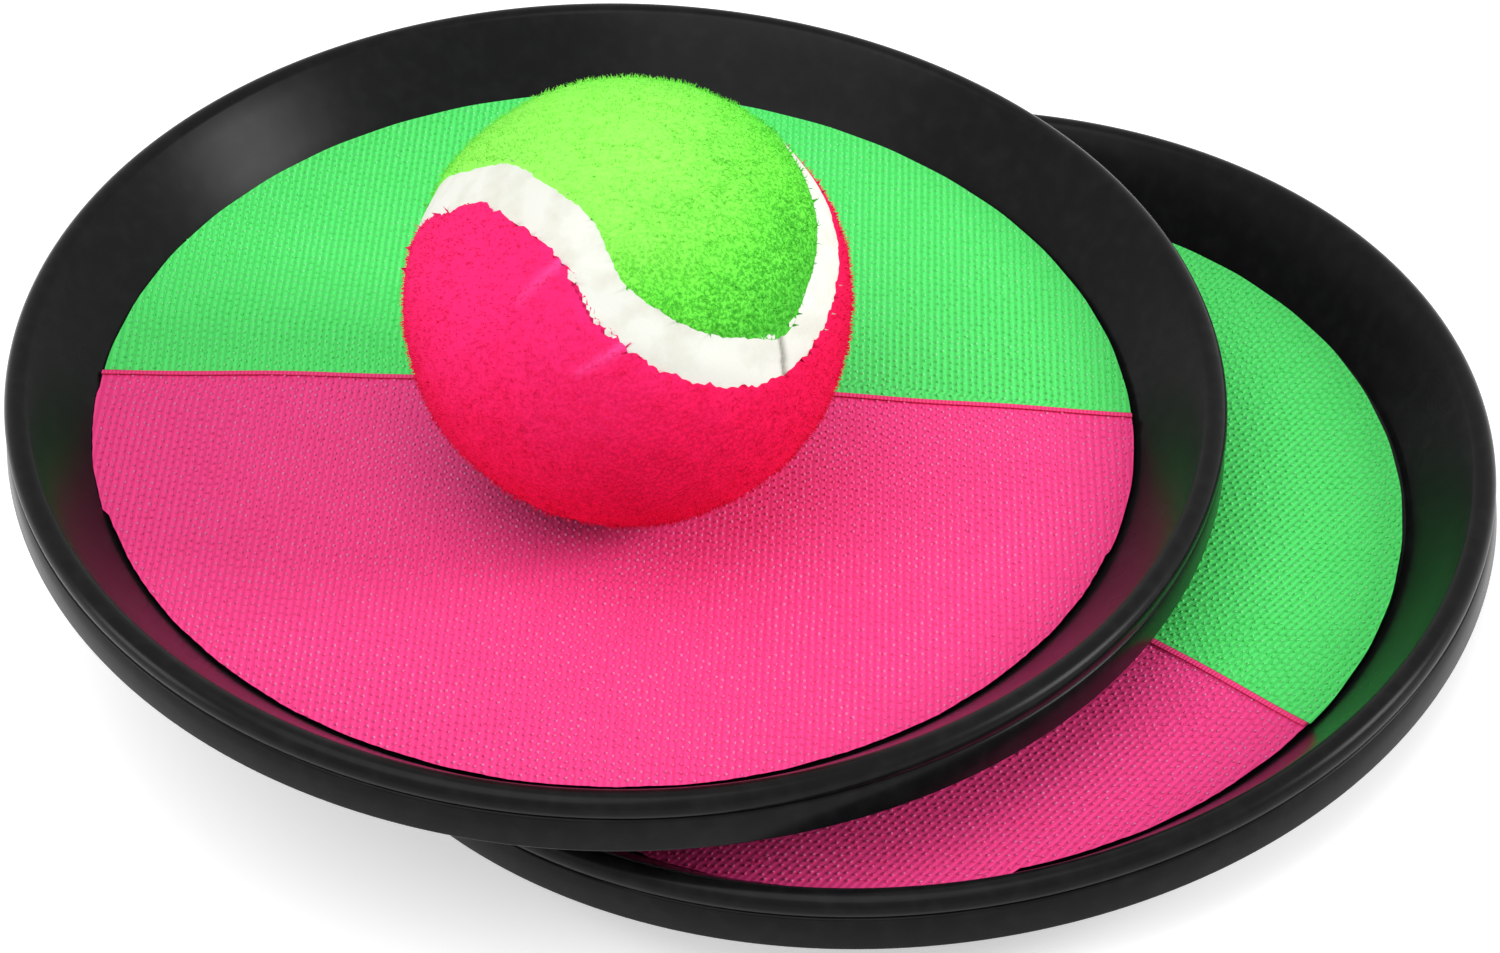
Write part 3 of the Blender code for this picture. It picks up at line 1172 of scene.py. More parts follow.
@dataclass
class HookCloth:
    """One half disc of hook cloth: a woven ground sheet and the hooks that stand on it."""

    side: Side
    seam: float
    bulge: float
    seed: int
    tags: tuple[Triple, ...] = ()
    short: Pair = (0.0, 0.0)
    radius: float = 79.85 * MM
    flare: float = 1.0 * MM
    sheet: float = 0.95 * MM
    column: float = 1.07 * MM
    row: float = 1.6 * MM
    bare_edge: float = 1.3 * MM
    clear_edge: float = 0.5 * MM
    turned_edge: float = 2.2 * MM
    steps: int = 360
    seam_cuts: int = 90
    scissors: Pair = (0.25 * MM, 0.15 * MM)
    wobble: Pair = (0.12 * MM, 0.2 * MM)
    stray_yaw: float = 0.22
    stray_tilt: float = 0.15
    heights: Pair = (0.85, 1.0)
    wire: float = 0.19 * MM
    stem: float = 0.06 * MM
    bow: float = 0.17 * MM

    def seam_line(self, x: Rows) -> Rows:
        """Where the cut edge runs beside the seam; the scissors wander by a few tenths.

        Args:
            x: Places along the seam.

        Returns:
            The edge's Y at each place.
        """
        drift = wander(x / (60 * MM), 41, (0.9, 2.1)) * self.scissors[0]
        drift += self.bulge * (1 - (x / self.radius) ** 2)
        return self.seam + drift + self.side.value * 0.05 * MM

    def rim(self, angle: Rows) -> Rows:
        """Radius of the cut round edge.

        Args:
            angle: Angles about the paddle's axis.

        Returns:
            The radius at each angle.
        """
        stray = wander(angle, self.seed, (1.0, 2.5, 6.5)) * self.scissors[1]
        cut = self.radius - self.scissors[1] + stray
        heading, amount = self.short
        cut = cut - np.clip(np.cos(angle - math.radians(heading)), 0, 1) ** 2 * amount * MM
        for first, last, extra in self.tags:
            inside = (angle > math.radians(first)) & (angle < math.radians(last))
            frayed = extra * MM * (1.0 + 0.25 * wander(angle, 5, (31.0, 67.0)))
            cut = np.where(inside, cut + frayed, cut)
        return cut

    def ground(self, name: str) -> Item:
        """Cuts the ground sheet from a disc along the seam.

        Args:
            name: The piece's name.

        Returns:
            The sheet, with its weave map.
        """
        away = self.side.value
        bpy.ops.mesh.primitive_circle_add(vertices=self.steps, radius=self.radius, fill_type="NGON")
        sheet = named(name)
        with editing(sheet, "EDGE"):
            bpy.ops.mesh.bisect(plane_co=(0, self.seam, 0), plane_no=(0, away, 0), clear_inner=True)
            pick(sheet, "edges", lambda edge: all(abs(v.co.y - self.seam) < TOUCH for v in edge.verts))
            bpy.ops.mesh.subdivide(number_cuts=self.seam_cuts)
        points = points_of(sheet)
        on_seam = np.abs(points[:, 1] - self.seam) < TOUCH
        angle = np.arctan2(points[:, 1], points[:, 0])
        size = np.hypot(points[:, 0], points[:, 1])
        scale = np.where(size > self.radius - 1e-5, self.rim(angle) / size, 1.0)
        points[:, 0] *= scale
        points[:, 1] = np.where(on_seam, self.seam_line(points[:, 0]), points[:, 1] * scale)
        points[:, 2] = SHEET_BOTTOM + self.sheet
        set_points(sheet, points)
        weave_map(sheet, points[:, :2])
        face_outwards(sheet)
        face_up(sheet)
        finish_with(sheet, "SOLIDIFY", thickness=self.sheet, offset=-1.0)
        points = points_of(sheet)
        size = np.hypot(points[:, 0], points[:, 1])
        upper_rim = (size > self.radius - self.turned_edge) & (points[:, 2] > SHEET_BOTTOM + self.sheet / 2)
        points[upper_rim, :2] *= (1 + self.flare / size[upper_rim])[:, None]
        set_points(sheet, points)
        return sheet

    def hook(self) -> Item:
        """Bends one hook from a three-sided wire: a stem and a bow that turns back down on the ground.

        Returns:
            The hook, its root at the origin.
        """
        hook = ring("hook_pattern", 3, self.wire)
        with editing(hook):
            draw_out(0, 0, self.stem)
            bpy.ops.mesh.spin(steps=3, angle=-math.pi, center=(0, self.bow, self.stem), axis=(-1, 0, 0))
            draw_out(0, 0, -self.stem)
            bpy.ops.mesh.select_all(action="SELECT")
            bpy.ops.transform.resize(value=(1.35, 1, 1), center_override=(0, 0, 0))
        close_holes(hook)
        return hook

    def places(self) -> Rows:
        """Stands for the hooks: straight columns square to the seam, staggered from one to the next.

        Returns:
            The stands, one for each hook.
        """
        rng = np.random.default_rng(self.seed)
        spots = []
        count = int(self.radius / self.column)
        for column in range(-count, count + 1):
            x = column * self.column
            turn = 1 if column % 2 else -1
            reach = math.sqrt(max(self.radius ** 2 - x * x, 0.0)) + 2 * MM
            stagger = (column % 2) * self.row / 2
            rows = np.arange(-reach, reach, self.row) // self.row * self.row + stagger
            bare = self.bare_edge if self.side is Side.PINK else self.clear_edge
            edge = float(self.seam_line(np.array(x))) + self.side.value * bare
            inside = np.hypot(x, rows) < self.rim(np.arctan2(rows, x)) + self.flare - 0.4 * MM
            keep = rows[(self.side.value * (rows - edge) > 0) & inside]
            spots += [(x, y, turn) for y in keep]
        table = np.array(spots)
        size = len(table)
        spread, limit = self.wobble
        table[:, :2] += rng.normal(0, spread, (size, 2)).clip(-limit, limit)
        yaw = np.where(table[:, 2] > 0, 0.0, math.pi) + rng.normal(0, self.stray_yaw, size)
        tilt = rng.normal(0, self.stray_tilt, size)
        height = rng.uniform(*self.heights, size)
        cos_yaw, sin_yaw, cos_tilt, sin_tilt = np.cos(yaw), np.sin(yaw), np.cos(tilt), np.sin(tilt)
        axes = (
            np.stack([cos_yaw * cos_tilt, sin_yaw * cos_tilt, -sin_tilt], axis=1),
            np.stack([-sin_yaw, cos_yaw, np.zeros(size)], axis=1),
            np.stack([cos_yaw * sin_tilt, sin_yaw * sin_tilt, cos_tilt], axis=1),
        )
        table[:, 2] = SHEET_BOTTOM + self.sheet - 0.03 * MM
        return stands(axes, height, table)

    def selvedge(self, name: str) -> Item:
        """Weaves the bare edge strip that the pink half shows along the seam.

        Args:
            name: The piece's name.

        Returns:
            The strip, a low rounded band.
        """
        ends = self.rim(np.array([0.0, math.pi * self.side.value])) + self.flare - 0.1 * MM
        bpy.ops.mesh.primitive_grid_add(x_subdivisions=120, y_subdivisions=6, size=1.0)
        strip = named(name)
        points = points_of(strip)
        share = points[:, 1] + 0.5
        points[:, 0] = -ends[1] + (points[:, 0] + 0.5) * ends.sum()
        edge = self.seam_line(points[:, 0])
        points[:, 1] = edge + self.side.value * (0.06 * MM + share * (self.bare_edge - 0.15 * MM))
        crown = np.sin(np.clip(share * 1.6, 0, 1) * math.pi / 2) ** 0.5
        points[:, 2] = SHEET_BOTTOM + self.sheet + 0.10 * MM + 0.30 * MM * crown
        set_points(strip, points)
        weave_map(strip, points[:, :2])
        face_up(strip)
        finish_with(strip, "SOLIDIFY", thickness=0.12 * MM, offset=-1.0)
        smooth(strip, 60)
        return strip

    def build(self, label: str, pose: Matrix, palette: Palette) -> None:
        """Makes the half disc and lays it in its dish.

        Args:
            label: The paddle's name.
            pose: The paddle's place.
            palette: The finishes.
        """
        stem = f"{label}_{self.side.label}"
        ground = self.ground(f"{stem}_cloth_ground")
        hooks = plant(f"{stem}_cloth_hooks", self.hook(), self.places())
        deliver(ground, pose, palette.ground[self.side], (f"{stem}_hook_cloth",))
        deliver(hooks, pose, palette.filament[self.side])
        if self.side is Side.PINK:
            strip = self.selvedge(f"{stem}_cloth_selvedge")
            deliver(strip, pose, palette.selvedge)


# ---------------------------------------------------------------- hand strap


@dataclass
class HandStrap:
    """Webbing strap on the back of a paddle, sewn round one bridge and closed on itself round the other."""

    label: str
    sag: float
    lean: float
    width: float = 50.0 * MM
    thickness: float = 1.5 * MM
    bridge_spacing: float = 116.0 * MM
    bridge_width: float = 6.0 * MM
    bridge_bar: float = 3.0 * MM
    bar_centre: float = -3.6 * MM
    flat_run: float = 38.0 * MM
    blend: float = 12.0 * MM
    sewn_tail: float = 24.0 * MM
    closing_tail: float = 78.0 * MM
    patch: float = 0.8 * MM
    patch_width: float = 46.0 * MM
    stitch_pitch: float = 3.0 * MM
    stitch_size: Pair = (1.25 * MM, 0.26 * MM)
    sewn_box: Triple = (8.0 * MM, 21.0 * MM, 19.0 * MM)
    loop_span: Pair = (-27.0 * MM, 32.0 * MM)
    hook_span: Pair = (-20.0 * MM, 24.0 * MM)
    pitch: float = 1.2 * MM

    @property
    def inner(self) -> float:
        """Half the clear run between the bridges."""
        return (self.bridge_spacing - self.bridge_width) / 2

    @property
    def wrap(self) -> float:
        """Radius of the webbing's middle round a bridge."""
        return self.bridge_bar / 2 + GAP + self.thickness / 2

    def level(self, x: float) -> float:
        """Height of the middle of the hand run.

        Args:
            x: Place along the strap.

        Returns:
            The height.
        """
        share = ease((self.inner - abs(x)) / (self.inner - self.flat_run / 2))
        return -(GAP + self.thickness / 2) - share * (self.sag - self.lean * x)

    def below(self, x: float, offset: float) -> Pair:
        """Pair below the hand run, square to it.

        Args:
            x: Place along the strap.
            offset: Distance below its middle.

        Returns:
            X and height.
        """
        step = 0.1 * MM
        slope = (self.level(x + step) - self.level(x - step)) / (2 * step)
        size = math.hypot(1.0, slope)
        return (x + offset * slope / size, self.level(x) - offset / size)

    def tail(self, x: float, offset: float) -> Pair:
        """Pair of a tail that opens out to the wrap near its bridge.

        Args:
            x: Place along the strap.
            offset: Distance below the hand run.

        Returns:
            X and height.
        """
        spread = ease(1.0 - (self.inner - abs(x)) / self.blend)
        return self.below(x, offset + (2 * self.wrap - offset) * spread)

    def run(self, first: float, last: float) -> Rows:
        """Even places from one X to another.

        Args:
            first: Start.
            last: End.

        Returns:
            The places.
        """
        return np.linspace(first, last, max(3, round(abs(last - first) / self.pitch)) + 1)

    @property
    def closing_offset(self) -> float:
        """Distance of the closing tail below the hand run."""
        return self.thickness + 3 * GAP + 2 * self.patch

    def path(self) -> list[Pair]:
        """Middle line of the webbing from the sewn tail to the closing tail.

        Returns:
            Pairs of x and height along the line.
        """
        centre = (self.bridge_spacing + self.bridge_width - self.bridge_bar) / 2

        def around(side: int) -> list[Pair]:
            """Half turn round a bridge.

            Args:
                side: -1 for the left bridge and 1 for the right one.

            Returns:
                Pairs of x and height along the half turn.
            """
            turns = [side * math.pi / 2 - math.pi * step / 14 for step in range(1, 14)]
            return [
                (side * centre + self.wrap * math.cos(turn), self.bar_centre + self.wrap * math.sin(turn))
                for turn in turns
            ]

        sewn = self.run(self.sewn_tail - self.inner, -self.inner)
        points = [self.tail(x, self.thickness + GAP) for x in sewn]
        points += around(-1)
        points += [self.below(x, 0.0) for x in self.run(-self.inner, self.inner)]
        points += around(1)
        closing = self.run(self.inner, self.inner - self.closing_tail)
        points += [self.tail(x, self.closing_offset) for x in closing]
        return points

    def ribbon(self, name: str, path: list[Pair], width: float, thickness: float) -> Item:
        """Draws a flat ribbon along a path, thickens it and rounds its edges.

        Args:
            name: The piece's name.
            path: X and height of its middle line.
            width: Its width.
            thickness: Its thickness.

        Returns:
            The ribbon, with a weave map along its length.
        """
        bpy.ops.mesh.primitive_grid_add(x_subdivisions=1, y_subdivisions=10, size=1.0)
        ribbon = named(name)
        points = points_of(ribbon)
        at_end = points[:, :1] > 0
        points[:, 1] *= width
        points[:, [0, 2]] = np.where(at_end, path[1], path[0])
        set_points(ribbon, points)
        end_x, end_z = path[1]
        with editing(ribbon, "EDGE"):
            pick(ribbon, "edges", lambda edge: all(
                abs(v.co.x - end_x) < TOUCH / 10 and abs(v.co.z - end_z) < TOUCH / 10 for v in edge.verts))
            for before, after in zip(path[1:], path[2:]):
                draw_out(after[0] - before[0], 0.0, after[1] - before[1])
        self.map_along(ribbon, path)
        finish_with(ribbon, "SOLIDIFY", thickness=thickness, offset=0.0)
        finish_with(
            ribbon, "BEVEL", width=thickness * 0.3, segments=2,
            limit_method="ANGLE", angle_limit=math.radians(60))
        smooth(ribbon, 50)
        return ribbon

    def map_along(self, ribbon: Item, path: list[Pair]) -> None:
        """Lays the weave map: U runs across the ribbon and V along it.

        Args:
            ribbon: The thin ribbon.
            path: Its middle line.
        """
        line = np.array(path)
        length = np.concatenate([[0.0], np.cumsum(np.hypot(*np.diff(line, axis=0).T))])
        points = points_of(ribbon)
        apart = points[:, None, [0, 2]] - line[None]
        nearest = np.argmin((apart ** 2).sum(axis=2), axis=1)
        weave_map(ribbon, np.stack([points[:, 1], length[nearest]], axis=1))

    def stitch(self) -> Item:
        """Models one stitch: a short bead of thread that dips at both ends.

        Returns:
            The stitch, along X.
        """
        bpy.ops.mesh.primitive_uv_sphere_add(segments=6, ring_count=5, radius=1.0)
        stitch = named("stitch_pattern")
        points = points_of(stitch)
        long, thick = self.stitch_size
        set_points(stitch, points[:, [2, 0, 1]] * (long, thick, thick))
        face_outwards(stitch)
        return stitch

    def sewing(self, name: str) -> Item:
        """Sews the boxed cross on the sewn tail.

        Args:
            name: The piece's name.

        Returns:
            All its stitches as one piece.
        """
        near, far, wide = self.sewn_box
        left, right = near - self.inner, far - self.inner
        corners = [(left, -wide), (left, wide), (right, wide), (right, -wide)]
        lines = list(zip(corners, corners[1:] + corners[:1]))
        lines += [(corners[0], corners[2]), (corners[1], corners[3])]
        depth = self.thickness + GAP + self.thickness / 2 + 0.02 * MM
        matrices = []
        for (x0, y0), (x1, y1) in lines:
            size = math.hypot(x1 - x0, y1 - y0)
            heading = math.atan2(y1 - y0, x1 - x0)
            for step in range(int(size / self.stitch_pitch)):
                share = (step + 0.5) * self.stitch_pitch / size
                x, y = x0 + (x1 - x0) * share, y0 + (y1 - y0) * share
                under, ahead = self.tail(x, depth), self.tail(x + 0.5 * MM, depth)
                pitch = -math.atan2(ahead[1] - under[1], ahead[0] - under[0])
                matrices.append(np.array(
                    Matrix.Translation((under[0], y, under[1]))
                    @ Matrix.Rotation(pitch, 4, "Y") @ Matrix.Rotation(heading, 4, "Z")))
        return plant(name, self.stitch(), np.array(matrices))

    def build(self, pose: Matrix, palette: Palette) -> None:
        """Makes the strap, its closure and its sewing.

        Args:
            pose: The paddle's place.
            palette: The finishes.
        """
        strap = self.ribbon(f"{self.label}_strap_webbing", self.path(), self.width, self.thickness)
        deliver(strap, pose, palette.webbing, (f"{self.label}_strap",))
        loop_offset = self.thickness / 2 + GAP + self.patch / 2
        hook_offset = loop_offset + self.patch + GAP
        for kind, reach, offset, material in (
            ("loop", self.loop_span, loop_offset, palette.loops),
            ("hook", self.hook_span, hook_offset, palette.hooks),
        ):
            path = [self.below(x, offset) for x in self.run(*reach)]
            tape = self.ribbon(f"{self.label}_strap_{kind}_tape", path, self.patch_width, self.patch)
            deliver(tape, pose, material, (f"{self.label}_strap_{kind}_patch",))
        deliver(self.sewing(f"{self.label}_strap_sewing"), pose, palette.thread)


# ---------------------------------------------------------------- paddle


@dataclass
class Paddle:
    """One hand paddle: dish, two half discs of hook cloth and the hand strap."""

    label: str
    pose: Matrix
    seam: float
    bulge: float
    seed: int
    tags: tuple[Triple, ...]
    short: Pair
    strap: HandStrap

    def build(self, moulding: Item, palette: Palette) -> None:
        """Makes the paddle in its place.

        Args:
            moulding: The dish, modelled once in its plain pose.
            palette: The finishes.
        """
        dish = copy_of(moulding, f"{self.label}_dish_moulding")
        deliver(dish, self.pose, palette.plastic, (f"{self.label}_dish",))
        for side in Side:
            tags = self.tags if side is Side.PINK else ()
            cloth = HookCloth(side, self.seam, self.bulge, self.seed + side.value, tags, self.short)
            cloth.build(self.label, self.pose, palette)
        self.strap.build(self.pose, palette)


# ---------------------------------------------------------------- ball


@dataclass
class Ball:
    """Felt ball: two dog-bone covers and the white band along their seam, on a rubber core."""

    radius: float = 33.0 * MM
    felt: float = 1.2 * MM
    band_width: float = 7.2 * MM
    band_sink: float = 0.3 * MM
    band_tuck: float = 0.45 * MM
    joint: float = 320.5
    joint_width: float = 0.6
    joint_depth: float = 0.3 * MM
    wave: float = 0.16
    fibres: int = 11000
    panel: Pair = (0.070, 0.118)
    panel_area: float = 0.0058
    creases: tuple[tuple[Triple, Triple], ...] = (
        ((-0.249, -0.958, -0.140), (0.011, -0.994, -0.105)),
        ((-0.195, -0.837, -0.511), (0.046, -0.851, -0.523)),
    )
    crease_width: float = 0.75 * MM
    crease_height: float = 0.16 * MM
    drift: tuple[Pair, ...] = (
        (200, 0.0), (240, -3.4), (256, 0.8), (271, 2.5), (286, -1.0),
        (319, -1.0), (342, 1.2), (356, 1.5), (400, 0.0),
    )
    green_laps: tuple[tuple[float, ...], ...] = ((311.0, 322.0, 331.0, 1.5),)
    pink_laps: tuple[tuple[float, ...], ...] = ((270.0, 280.0, 298.0, 1.3),)
    jags: Pair = (0.16 * MM, 0.42 * MM)
    felt_fit: float = 0.92
    edge_roll: Pair = (1.4 * MM, 0.30 * MM)
    band_thickness: float = 0.85 * MM
    fibre_thickness: float = 0.05 * MM
    fibre_length: Pair = (0.6, 1.5)
    fibre_lean: float = 0.35
    nap_root: float = 0.12 * MM
    nap_margin: float = 0.3 * MM

    def seam(self) -> tuple[Rows, Rows, Rows]:
        """The seam on the unit sphere.

        Returns:
            Its points, the direction across it towards the green cover, and the band's drift at each.
        """
        turn = np.linspace(0, math.tau, 1441)[:-1]
        wide = 1.0 - self.wave
        rise = 2.0 * math.sqrt(wide * self.wave)
        line = unit(np.stack([
            wide * np.cos(turn) + self.wave * np.cos(3 * turn),
            wide * np.sin(turn) - self.wave * np.sin(3 * turn),
            rise * np.sin(2 * turn),
        ], axis=1))
        across = np.cross(line, unit(np.roll(line, -1, axis=0) - np.roll(line, 1, axis=0)))
        first = self.drift[0][0]
        place = (np.degrees(turn) - first) % 360 + first
        stray = np.zeros_like(place)
        for (start, low), (end, high) in zip(self.drift, self.drift[1:]):
            inside = (place >= start) & (place <= end)
            stray[inside] = low + (high - low) * ease((place[inside] - start) / (end - start))
        return line, across, stray * MM

    def beside(self, directions: Rows) -> tuple[Rows, Rows, Rows]:
        """Where directions from the centre stand beside the band's middle line.

        Args:
            directions: Unit vectors.

        Returns:
            Signed distance, the direction across the seam and the place along it in turns.
        """
        line, across, stray = self.seam()
        nearest = np.empty(len(directions), dtype=int)
        for start in range(0, len(directions), 4000):
            part = slice(start, start + 4000)
            nearest[part] = np.argmax(directions[part] @ line.T, axis=1)
        gap = np.einsum("ij,ij->i", directions - line[nearest], across[nearest])
        distance = np.arcsin(np.clip(gap, -1, 1)) * self.radius - stray[nearest]
        return distance, across[nearest], nearest / len(line)

    def swell(self, directions: Rows) -> Rows:
        """How far the hand-made ball stands from a true sphere.

        Args:
            directions: Unit vectors.

        Returns:
            The change of radius at each.
        """
        rng = np.random.default_rng(7)
        total = np.zeros(len(directions))
        for scale, size in ((2.0, 0.10), (5.0, 0.06), (14.0, 0.035), (32.0, 0.03)):
            for _ in range(4):
                axis = rng.normal(size=3)
                axis /= np.linalg.norm(axis)
                total += np.sin(directions @ axis * scale + rng.uniform(0, math.tau)) * size
        return total * MM

    def creased(self, directions: Rows) -> Rows:
        """How strongly the pink felt is creased beside the band.

        Args:
            directions: Unit vectors.

        Returns:
            A share from 0 to 1 at each.
        """
        total = np.zeros(len(directions))
        for first, last in self.creases:
            start = np.array(first)
            run = np.array(last) - start
            share = np.clip((directions - start) @ run / (run @ run), 0, 1)
            gap = np.linalg.norm(directions - start - share[:, None] * run, axis=1) * self.radius
            total = np.maximum(total, np.exp(-(gap / self.crease_width) ** 2) * (0.35 + 0.65 * share))
        return total

    def shell(self) -> Item:
        """One fine sphere that the covers and the band are cut from."""
        bpy.ops.mesh.primitive_ico_sphere_add(subdivisions=7, radius=self.radius)
        return named("ball_shell")

    def lap(self, turn: Rows, laps: tuple[tuple[float, ...], ...]) -> Rows:
        """How far a cover laps over the band.

        Args:
            turn: Places along the seam in turns.
            laps: Start, peak and end in degrees along the seam, and the reach in millimetres.

        Returns:
            The lap at each place.
        """
        total = np.zeros_like(turn)
        for first, peak, last, reach in laps:
            place = turn * 360
            share = np.minimum((place - first) / (peak - first), (last - place) / (last - peak))
            total += ease(share) * reach * MM
        return total

    def cut(
        self,
        shell: Item,
        name: str,
        reach: Pair,
        jag: float,
        seed: int,
        laps: tuple[tuple[float, ...], ...] = (),
    ) -> Item:
        """Cuts the strip of the sphere between two distances from the seam.

        Args:
            shell: The sphere.
            name: The piece's name.
            reach: Lowest and highest signed distance kept.
            jag: How far the cut edge strays.
            seed: Picks the jags.
            laps: Where it reaches further.

        Returns:
            The cut sheet, its edges snapped to the lines.
        """
        piece = copy_of(shell, name)
        directions = unit(points_of(piece))
        distance, across, turn = self.beside(directions)
        extra = self.lap(turn, laps)
        low, high = reach[0] - extra, reach[1] + extra
        corners = corners_of(piece).reshape(-1, 3)
        keep = (distance - low)[corners].mean(axis=1) > 0
        keep &= (high - distance)[corners].mean(axis=1) > 0
        ragged = wander(turn, seed, (61.0, 113.0, 187.0)) * 1.6 * jag
        ragged += np.random.default_rng(seed).normal(0, 0.2, len(turn)).clip(-0.4, 0.4) * jag
        on_edge = np.zeros(len(directions), dtype=bool)
        on_edge[np.intersect1d(corners[keep], corners[~keep])] = True
        goal = np.where(np.abs(distance - low) < np.abs(distance - high), low, high) + ragged
        shift = np.where(on_edge, goal - distance, 0.0)
        set_points(piece, unit(directions + across * (shift / self.radius)[:, None]) * self.radius)
        with editing(piece, "FACE"):
            pick(piece, "faces", lambda face: not keep[face.index])
            bpy.ops.mesh.delete(type="FACE")
        return piece

    def raise_felt(self, cover: Item, side: Side) -> None:
        """Gives a cover its uneven nap and lets its edge roll down to the band.

        Args:
            cover: The cut sheet.
            side: Which cover it is.
        """
        directions = unit(points_of(cover))
        distance, _, _ = self.beside(directions)
        inward = np.abs(distance) - self.band_width / 2
        wide, deep = self.edge_roll
        roll = np.clip(1.0 - inward / wide, 0.0, 1.0) ** 2 * deep
        size = self.radius + self.swell(directions) - roll
        if side is Side.PINK:
            creased = self.creased(directions)
            size += creased * self.crease_height
            # The pink felt takes a paler tone along its two raised crease ridges.
            mark_tint(cover, creased)
        set_points(cover, directions * size[:, None])
        depth = self.felt * self.felt_fit
        finish_with(cover, "SOLIDIFY", thickness=depth, offset=-1.0, use_even_offset=False)
        smooth(cover, 60)

    def fibre(self) -> Item:
        """Models one loose fibre: thin, bent over and tapering.

        Returns:
            The fibre, its root at the origin.
        """
        fibre = ring("fibre_pattern", 3, self.fibre_thickness)
        with editing(fibre):
            draw_out(0.06 * MM, 0, 0.30 * MM)
            draw_out(0.28 * MM, 0, 0.22 * MM)
            bpy.ops.transform.resize(value=(0.35, 0.35, 0.35), center_override=(0.34 * MM, 0, 0.52 * MM))
        close_holes(fibre)
        return fibre

    def fuzz(self, name: str, side: Side) -> Item:
        """Plants loose fibres over a cover.

        Args:
            name: The piece's name.
            side: Which cover it is.

        Returns:
            All its fibres as one piece.
        """
        rng = np.random.default_rng(100 + side.value)
        directions = unit(rng.normal(size=(self.fibres * 3, 3)))
        distance, _, _ = self.beside(directions)
        kept = directions[side.value * distance > self.band_width / 2 + self.nap_margin][:self.fibres]
        size = self.radius + self.swell(kept) - self.nap_root
        spin = rng.uniform(0, math.tau, len(kept))
        length = rng.uniform(*self.fibre_length, len(kept))
        lean = rng.normal(0, self.fibre_lean, len(kept))
        helper = np.where(np.abs(kept[:, 2:3]) < 0.9, (0.0, 0.0, 1.0), (1.0, 0.0, 0.0))
        first = unit(np.cross(helper, kept))
        second = np.cross(kept, first)
        heading = first * np.cos(spin)[:, None] + second * np.sin(spin)[:, None]
        axis_z = kept * np.cos(lean)[:, None] + heading * np.sin(lean)[:, None]
        axis_x = heading * np.cos(lean)[:, None] - kept * np.sin(lean)[:, None]
        axes = (axis_x, np.cross(axis_z, axis_x), axis_z)
        return plant(name, self.fibre(), stands(axes, length, kept * size[:, None]))

    def build(self, palette: Palette) -> None:
        """Makes the ball in its place.

        Args:
            palette: The finishes.
        """
        shell = self.shell()
        half = self.band_width / 2
        tucked = half + self.band_tuck
        band = self.cut(shell, "ball_seam_tape", (-tucked, tucked), 0.0, 11)
        directions = unit(points_of(band))
        _, _, turn = self.beside(directions)
        joint = np.exp(-((turn * 360 - self.joint) / self.joint_width) ** 2)
        size = self.radius - self.band_sink + self.swell(directions) - joint * self.joint_depth
        set_points(band, directions * size[:, None])
        mark_tint(band, joint)
        finish_with(band, "SOLIDIFY", thickness=self.band_thickness, offset=-1.0, use_even_offset=False)
        smooth(band, 60)
        deliver(band, BALL_POSE, palette.band, ("ball_seam_band",))
        for side, reach, laps, jag in (
            (Side.GREEN, (half, 1.0), self.green_laps, self.jags[0]),
            (Side.PINK, (-1.0, -half), self.pink_laps, self.jags[1]),
        ):
            cover = self.cut(shell, f"ball_{side.label}_felt", reach, jag, 20 + side.value, laps)
            self.raise_felt(cover, side)
            nap = self.fuzz(f"ball_{side.label}_nap", side)
            felt, slot = palette.felt[side], f"{side.label}_felt"
            deliver(cover, BALL_POSE, felt, (f"ball_{side.label}_cover",))
            deliver(nap, BALL_POSE, felt)
        discard(shell)
        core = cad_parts["ball_core"]
        core.data.materials.clear()
        core.data.materials.append(palette.rubber)
        LOG.info("ball_core keeps its CAD solid")


# ---------------------------------------------------------------- studio


